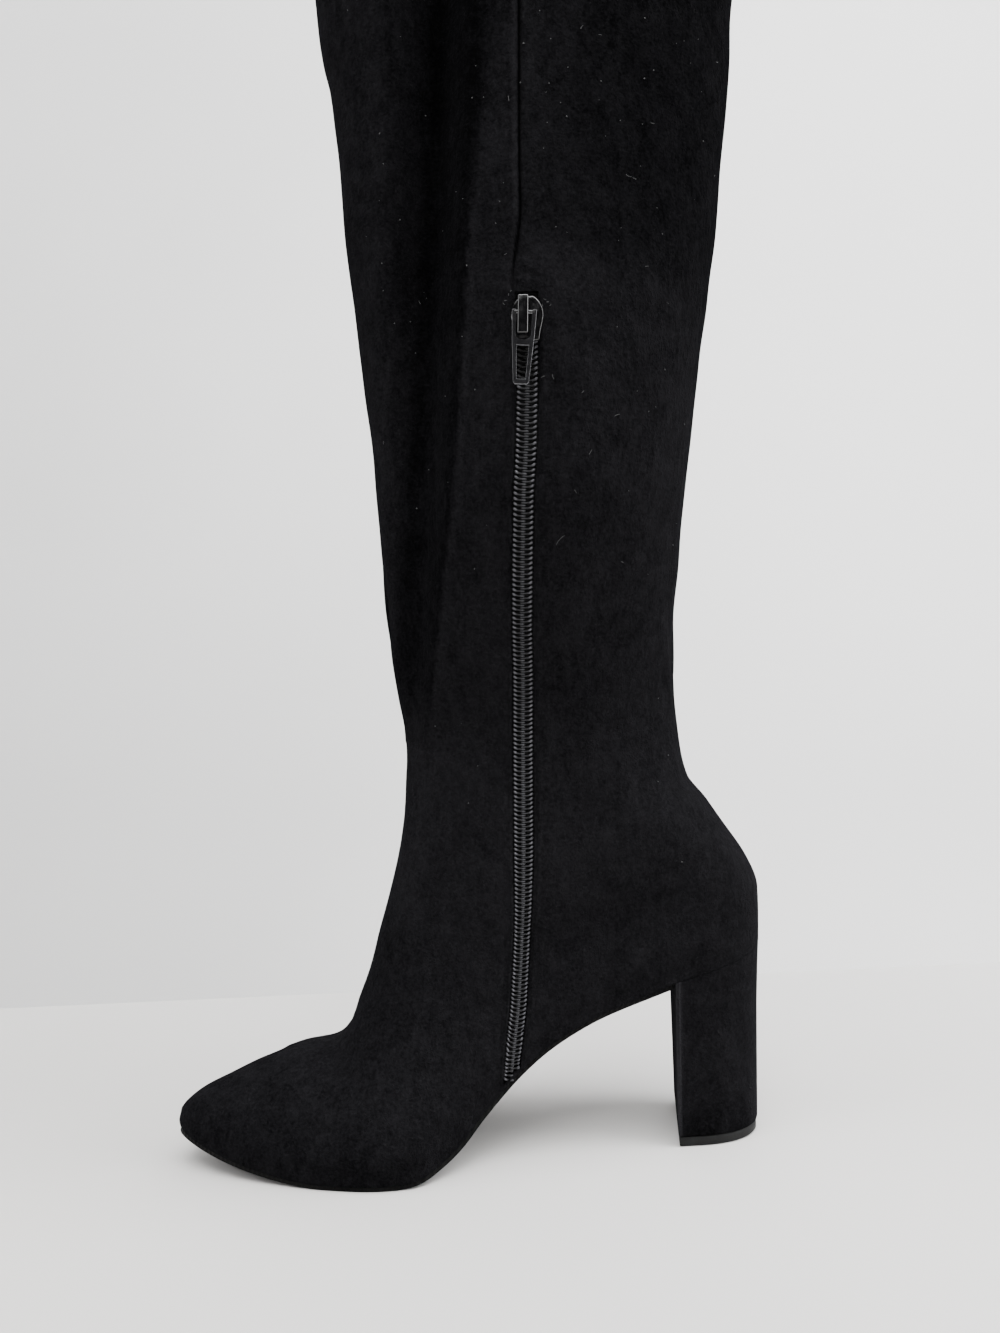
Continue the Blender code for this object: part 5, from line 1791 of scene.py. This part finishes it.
# %% Slider
SLIDER_OUTLINE = (             # half widths of the front plate, from its top to its foot
    (7.6, 2.2), (6.8, 3.2), (5.6, 4.2), (4.0, 5.1), (2.2, 5.6), (0.4, 5.65), (-1.6, 5.3),
    (-4.0, 4.7), (-6.4, 4.25), (-7.8, 4.1), (-8.3, 3.7),
)
PLATE_FACE = -1.45
PLATE_BACK = -0.35
CROWN_LOW = -6.8
CROWN_TOP = 6.9
CROWN_FACE = -5.05
CROWN_BACK = -1.05             # inside the front plate
CROWN_HALF = 1.85
CROWN_LEAN = 0.030             # it leans with the zip, in radians
CROWN_ASIDE = -1.2             # the crown and the tab sit a little to the front
TAB_ASIDE = -0.9
HINGE_UP = 1.2
HINGE_DEPTH = -2.85
TUNNEL_RADIUS = 1.05


def make_slider():
    """Front plate with wings, the crown over it with the tab's tunnel, neck and hidden plate."""
    body = softened(plate(SLIDER_OUTLINE, PLATE_FACE, PLATE_BACK), 0.36, 3)
    crown = block((CROWN_ASIDE, (CROWN_FACE + CROWN_BACK) / 2, (CROWN_TOP + CROWN_LOW) / 2),
                  (2 * CROWN_HALF, CROWN_BACK - CROWN_FACE, CROWN_TOP - CROWN_LOW))
    crown = softened(crown, 0.55, 4)
    lean = Matrix.Rotation(CROWN_LEAN, 3, "Y")
    bmesh.ops.rotate(crown, verts=crown.verts, cent=(CROWN_ASIDE, 0, CROWN_TOP), matrix=lean)
    tunnel = bar((0.0, HINGE_DEPTH, HINGE_UP), TUNNEL_RADIUS, 4 * CROWN_HALF)
    neck = block((0.0, 1.9, NECK_UP), (2.4, 4.9, 2.6))
    hidden = softened(block((0.0, 4.05, 0.0), (8.8, 0.9, 14.0)), 0.2, 1)
    return carved(body, (crown, "UNION"), (tunnel, "DIFFERENCE"), (neck, "UNION"), (hidden, "UNION"))


bm = make_slider()
bmesh.ops.transform(bm, matrix=SLIDER_FRAME, verts=bm.verts)
finish(bm, "zip_slider_body", black_enamel, replaces=("zip_slider",), smooth=30.0)

# %% Pull tab
TAB_THICK = 1.3
TAB_OUTLINE = ((0.75, 4.3), (-9.0, 3.9), (-24.4, 2.75), (-25.2, 2.1))
TAB_EYE = ((0.8, 2.75), (-8.0, 2.75), (-8.9, 2.35), (-9.4, 1.7), (-9.6, 0.9))
TAB_WINDOW = ((-11.6, 2.15), (-23.4, 1.6))
BAR_RADIUS = 0.7
BAR_LENGTH = 7.1
GLINT_LINE = 0.18               # the painted highlight is strongest this far behind the tab's face


def make_tab():
    """A tapered plate with an eye round the crown, a window below it and the bar through the crown."""
    half = TAB_THICK / 2
    body = plate(TAB_OUTLINE, -half, half)
    eye = plate(TAB_EYE, -TAB_THICK, TAB_THICK)
    above = block((0.0, 0.0, 0.0), (5.5, 2 * TAB_THICK, 1.5))
    window = plate(TAB_WINDOW, -TAB_THICK, TAB_THICK)
    bm = carved(body, (eye, "DIFFERENCE"), (above, "DIFFERENCE"), (window, "DIFFERENCE"))
    softened(bm, 0.45, 4)
    return carved(bm, (bar((0.0, 0.0, 0.0), BAR_RADIUS, BAR_LENGTH), "UNION"))


def tab_glint(points):
    """Painted highlight on the tab's front edges: they lie between its face and its sides."""
    return bell(points[:, 1] + TAB_THICK / 2 - GLINT_LINE, 0.10)


# painted highlight on the tab's front edges
bm = paint_on(make_tab(), EDGE_GLINT, tab_glint)
bmesh.ops.translate(bm, verts=bm.verts, vec=(TAB_ASIDE, 0.0, 0.0))
bmesh.ops.transform(bm, matrix=TAB_FRAME, verts=bm.verts)
finish(bm, "zip_pull_tab", black_enamel, body="pull_tab",
       replaces=("zip_pull",), smooth=30.0)

# %% [markdown]
# ## Where the boot stands
# A pale floor and wall, a large soft light from above with a weaker one on each side, and a camera
# low and close to the boot, nearly square to the zip side. It is so close that the collar is out of
# its view.
# The floor ends a little behind the boot and falls away from there to a wall a metre back. From the
# camera it looks like a skirting right behind the boot, and there is room to walk round the back.

# %% Floor and wall


def backdrop_look(name, left, right, reach):
    """Matt board with painted light: a little darker on the left than on the right, with very faint clouds.
    """
    made = look(name, left, Roughness=0.9, Specular_IOR_Level=0.1)
    split = made.node_tree.nodes.new("ShaderNodeSeparateXYZ")
    made.node_tree.links.new(place_nodes(made), split.inputs["Vector"])
    across = remap(made, split.outputs["X"], *reach)
    clouds = remap(made, noise(made, (reach[1] - reach[0]) * 0.375, 2.0, 0.5), 0.3, 0.7, -0.12, 0.12)
    share = calc(made, "ADD", across, clouds, clamp=True)
    wire(made, blend(made, share, left, right), "Base Color")
    return made


def sheet_object(name, finish_look, corners):
    """A flat board between its near left and its far right corner, in metres."""
    (x0, y0, z0), (x1, y1, z1) = corners
    bm = bmesh.new()
    bmesh.ops.create_grid(bm, x_segments=1, y_segments=1, size=0.5)
    for vert in bm.verts:
        u, v = vert.co.x + 0.5, vert.co.y + 0.5
        vert.co = (x0 + (x1 - x0) * u, y0 + (y1 - y0) * v, z0 + (z1 - z0) * v)
    mesh = mesh_of(bm, name)
    mesh.materials.append(finish_look)
    put_in_scene(name, mesh)


FLOOR_Z = -0.0002              # these few are in metres
FLOOR_END = 0.19
FLOOR_FALL = 0.34              # how steeply it falls away behind its end
SIDE = 9.0
WALL_Y = 1.0
WALL_TOP = 10.0
WALL_FOOT = FLOOR_Z - FLOOR_FALL * (WALL_Y - FLOOR_END)
# painted light on the wall and the floor: darker on the left, paler on the right
wall_paint = backdrop_look("wall_board", (0.71, 0.71, 0.71), (0.97, 0.97, 0.97), (-830.0, 670.0))
floor_paint = backdrop_look("floor_board", (0.485, 0.475, 0.46), (0.60, 0.59, 0.58), (-420.0, 220.0))
sheet_object("floor", floor_paint, ((-SIDE, -SIDE, FLOOR_Z), (SIDE, FLOOR_END, FLOOR_Z)))
sheet_object("floor_slope", floor_paint, ((-SIDE, FLOOR_END, FLOOR_Z), (SIDE, WALL_Y, WALL_FOOT)))
sheet_object("wall", wall_paint, ((-SIDE, WALL_Y, WALL_FOOT), (SIDE, WALL_Y, WALL_TOP)))
print("the wall's foot is", round(-WALL_FOOT / MM), "mm under the floor's edge")

# %% Light


def soft_light(name, place, aim, size, power):
    """A large rectangular area light that looks at a point."""
    data = bpy.data.lights.new(name, "AREA")
    data.shape = "RECTANGLE"
    data.size, data.size_y = size
    data.energy = power
    made = put_in_scene(name, data)
    made.location = place
    made.rotation_euler = (Vector(aim) - Vector(place)).to_track_quat("-Z", "Y").to_euler()


soft_light("top", (0.1, -0.7, 1.9), (-0.1, 0.0, 0.2), (2.2, 1.3), 90.0)
soft_light("right", (1.6, -0.5, 0.9), (-0.08, 0.0, 0.25), (0.8, 1.4), 34.0)
soft_light("left", (-1.7, -0.7, 0.9), (-0.08, 0.0, 0.25), (0.8, 1.4), 10.0)


def room_light(strength, dark, seen):
    """Light of a pale room, dimmer from the front. Looked at directly, the room is evenly pale."""
    world = bpy.data.worlds.new("pale_room")
    bpy.context.scene.world = world
    world.use_nodes = True
    tree = world.node_tree
    where = tree.nodes.new("ShaderNodeTexCoord")
    split = tree.nodes.new("ShaderNodeSeparateXYZ")
    level = tree.nodes.new("ShaderNodeMapRange")
    for name, number in (("From Min", -0.55), ("From Max", 0.0), ("To Min", dark), ("To Max", strength)):
        level.inputs[name].default_value = number
    tree.links.new(where.outputs["Generated"], split.inputs["Vector"])
    tree.links.new(split.outputs["Y"], level.inputs["Value"])
    ray = tree.nodes.new("ShaderNodeLightPath")
    pick = tree.nodes.new("ShaderNodeMix")
    pick.inputs["B"].default_value = seen
    tree.links.new(ray.outputs["Is Camera Ray"], pick.inputs["Factor"])
    tree.links.new(level.outputs["Result"], pick.inputs["A"])
    tree.links.new(pick.outputs["Result"], tree.nodes["Background"].inputs["Strength"])
    tree.nodes["Background"].inputs["Color"].default_value = (0.98, 0.985, 1.0, 1.0)


room_light(5.5, 0.04, 0.95)
print("three soft lights and a pale room")

# %% Camera
YAW = math.radians(4.5)
ROLL = math.radians(1.2)
CAMERA_PLACE = (-0.11525, -0.40718, 0.19066)
camera_data = bpy.data.cameras.new("camera")
camera_data.sensor_width = 36.0
camera_data.lens = 27.03
camera = put_in_scene("camera", camera_data)
upward = Vector((0.0, 0.0, 1.0))
facing = Vector((math.sin(YAW), math.cos(YAW), 0.0))
right = facing.cross(upward) * math.cos(ROLL) - upward * math.sin(ROLL)
turn = Matrix((right, right.cross(facing), -facing)).transposed().to_4x4()
camera.matrix_world = Matrix.Translation(CAMERA_PLACE) @ turn
bpy.context.scene.camera = camera
print("camera looks along", [round(v, 3) for v in facing])
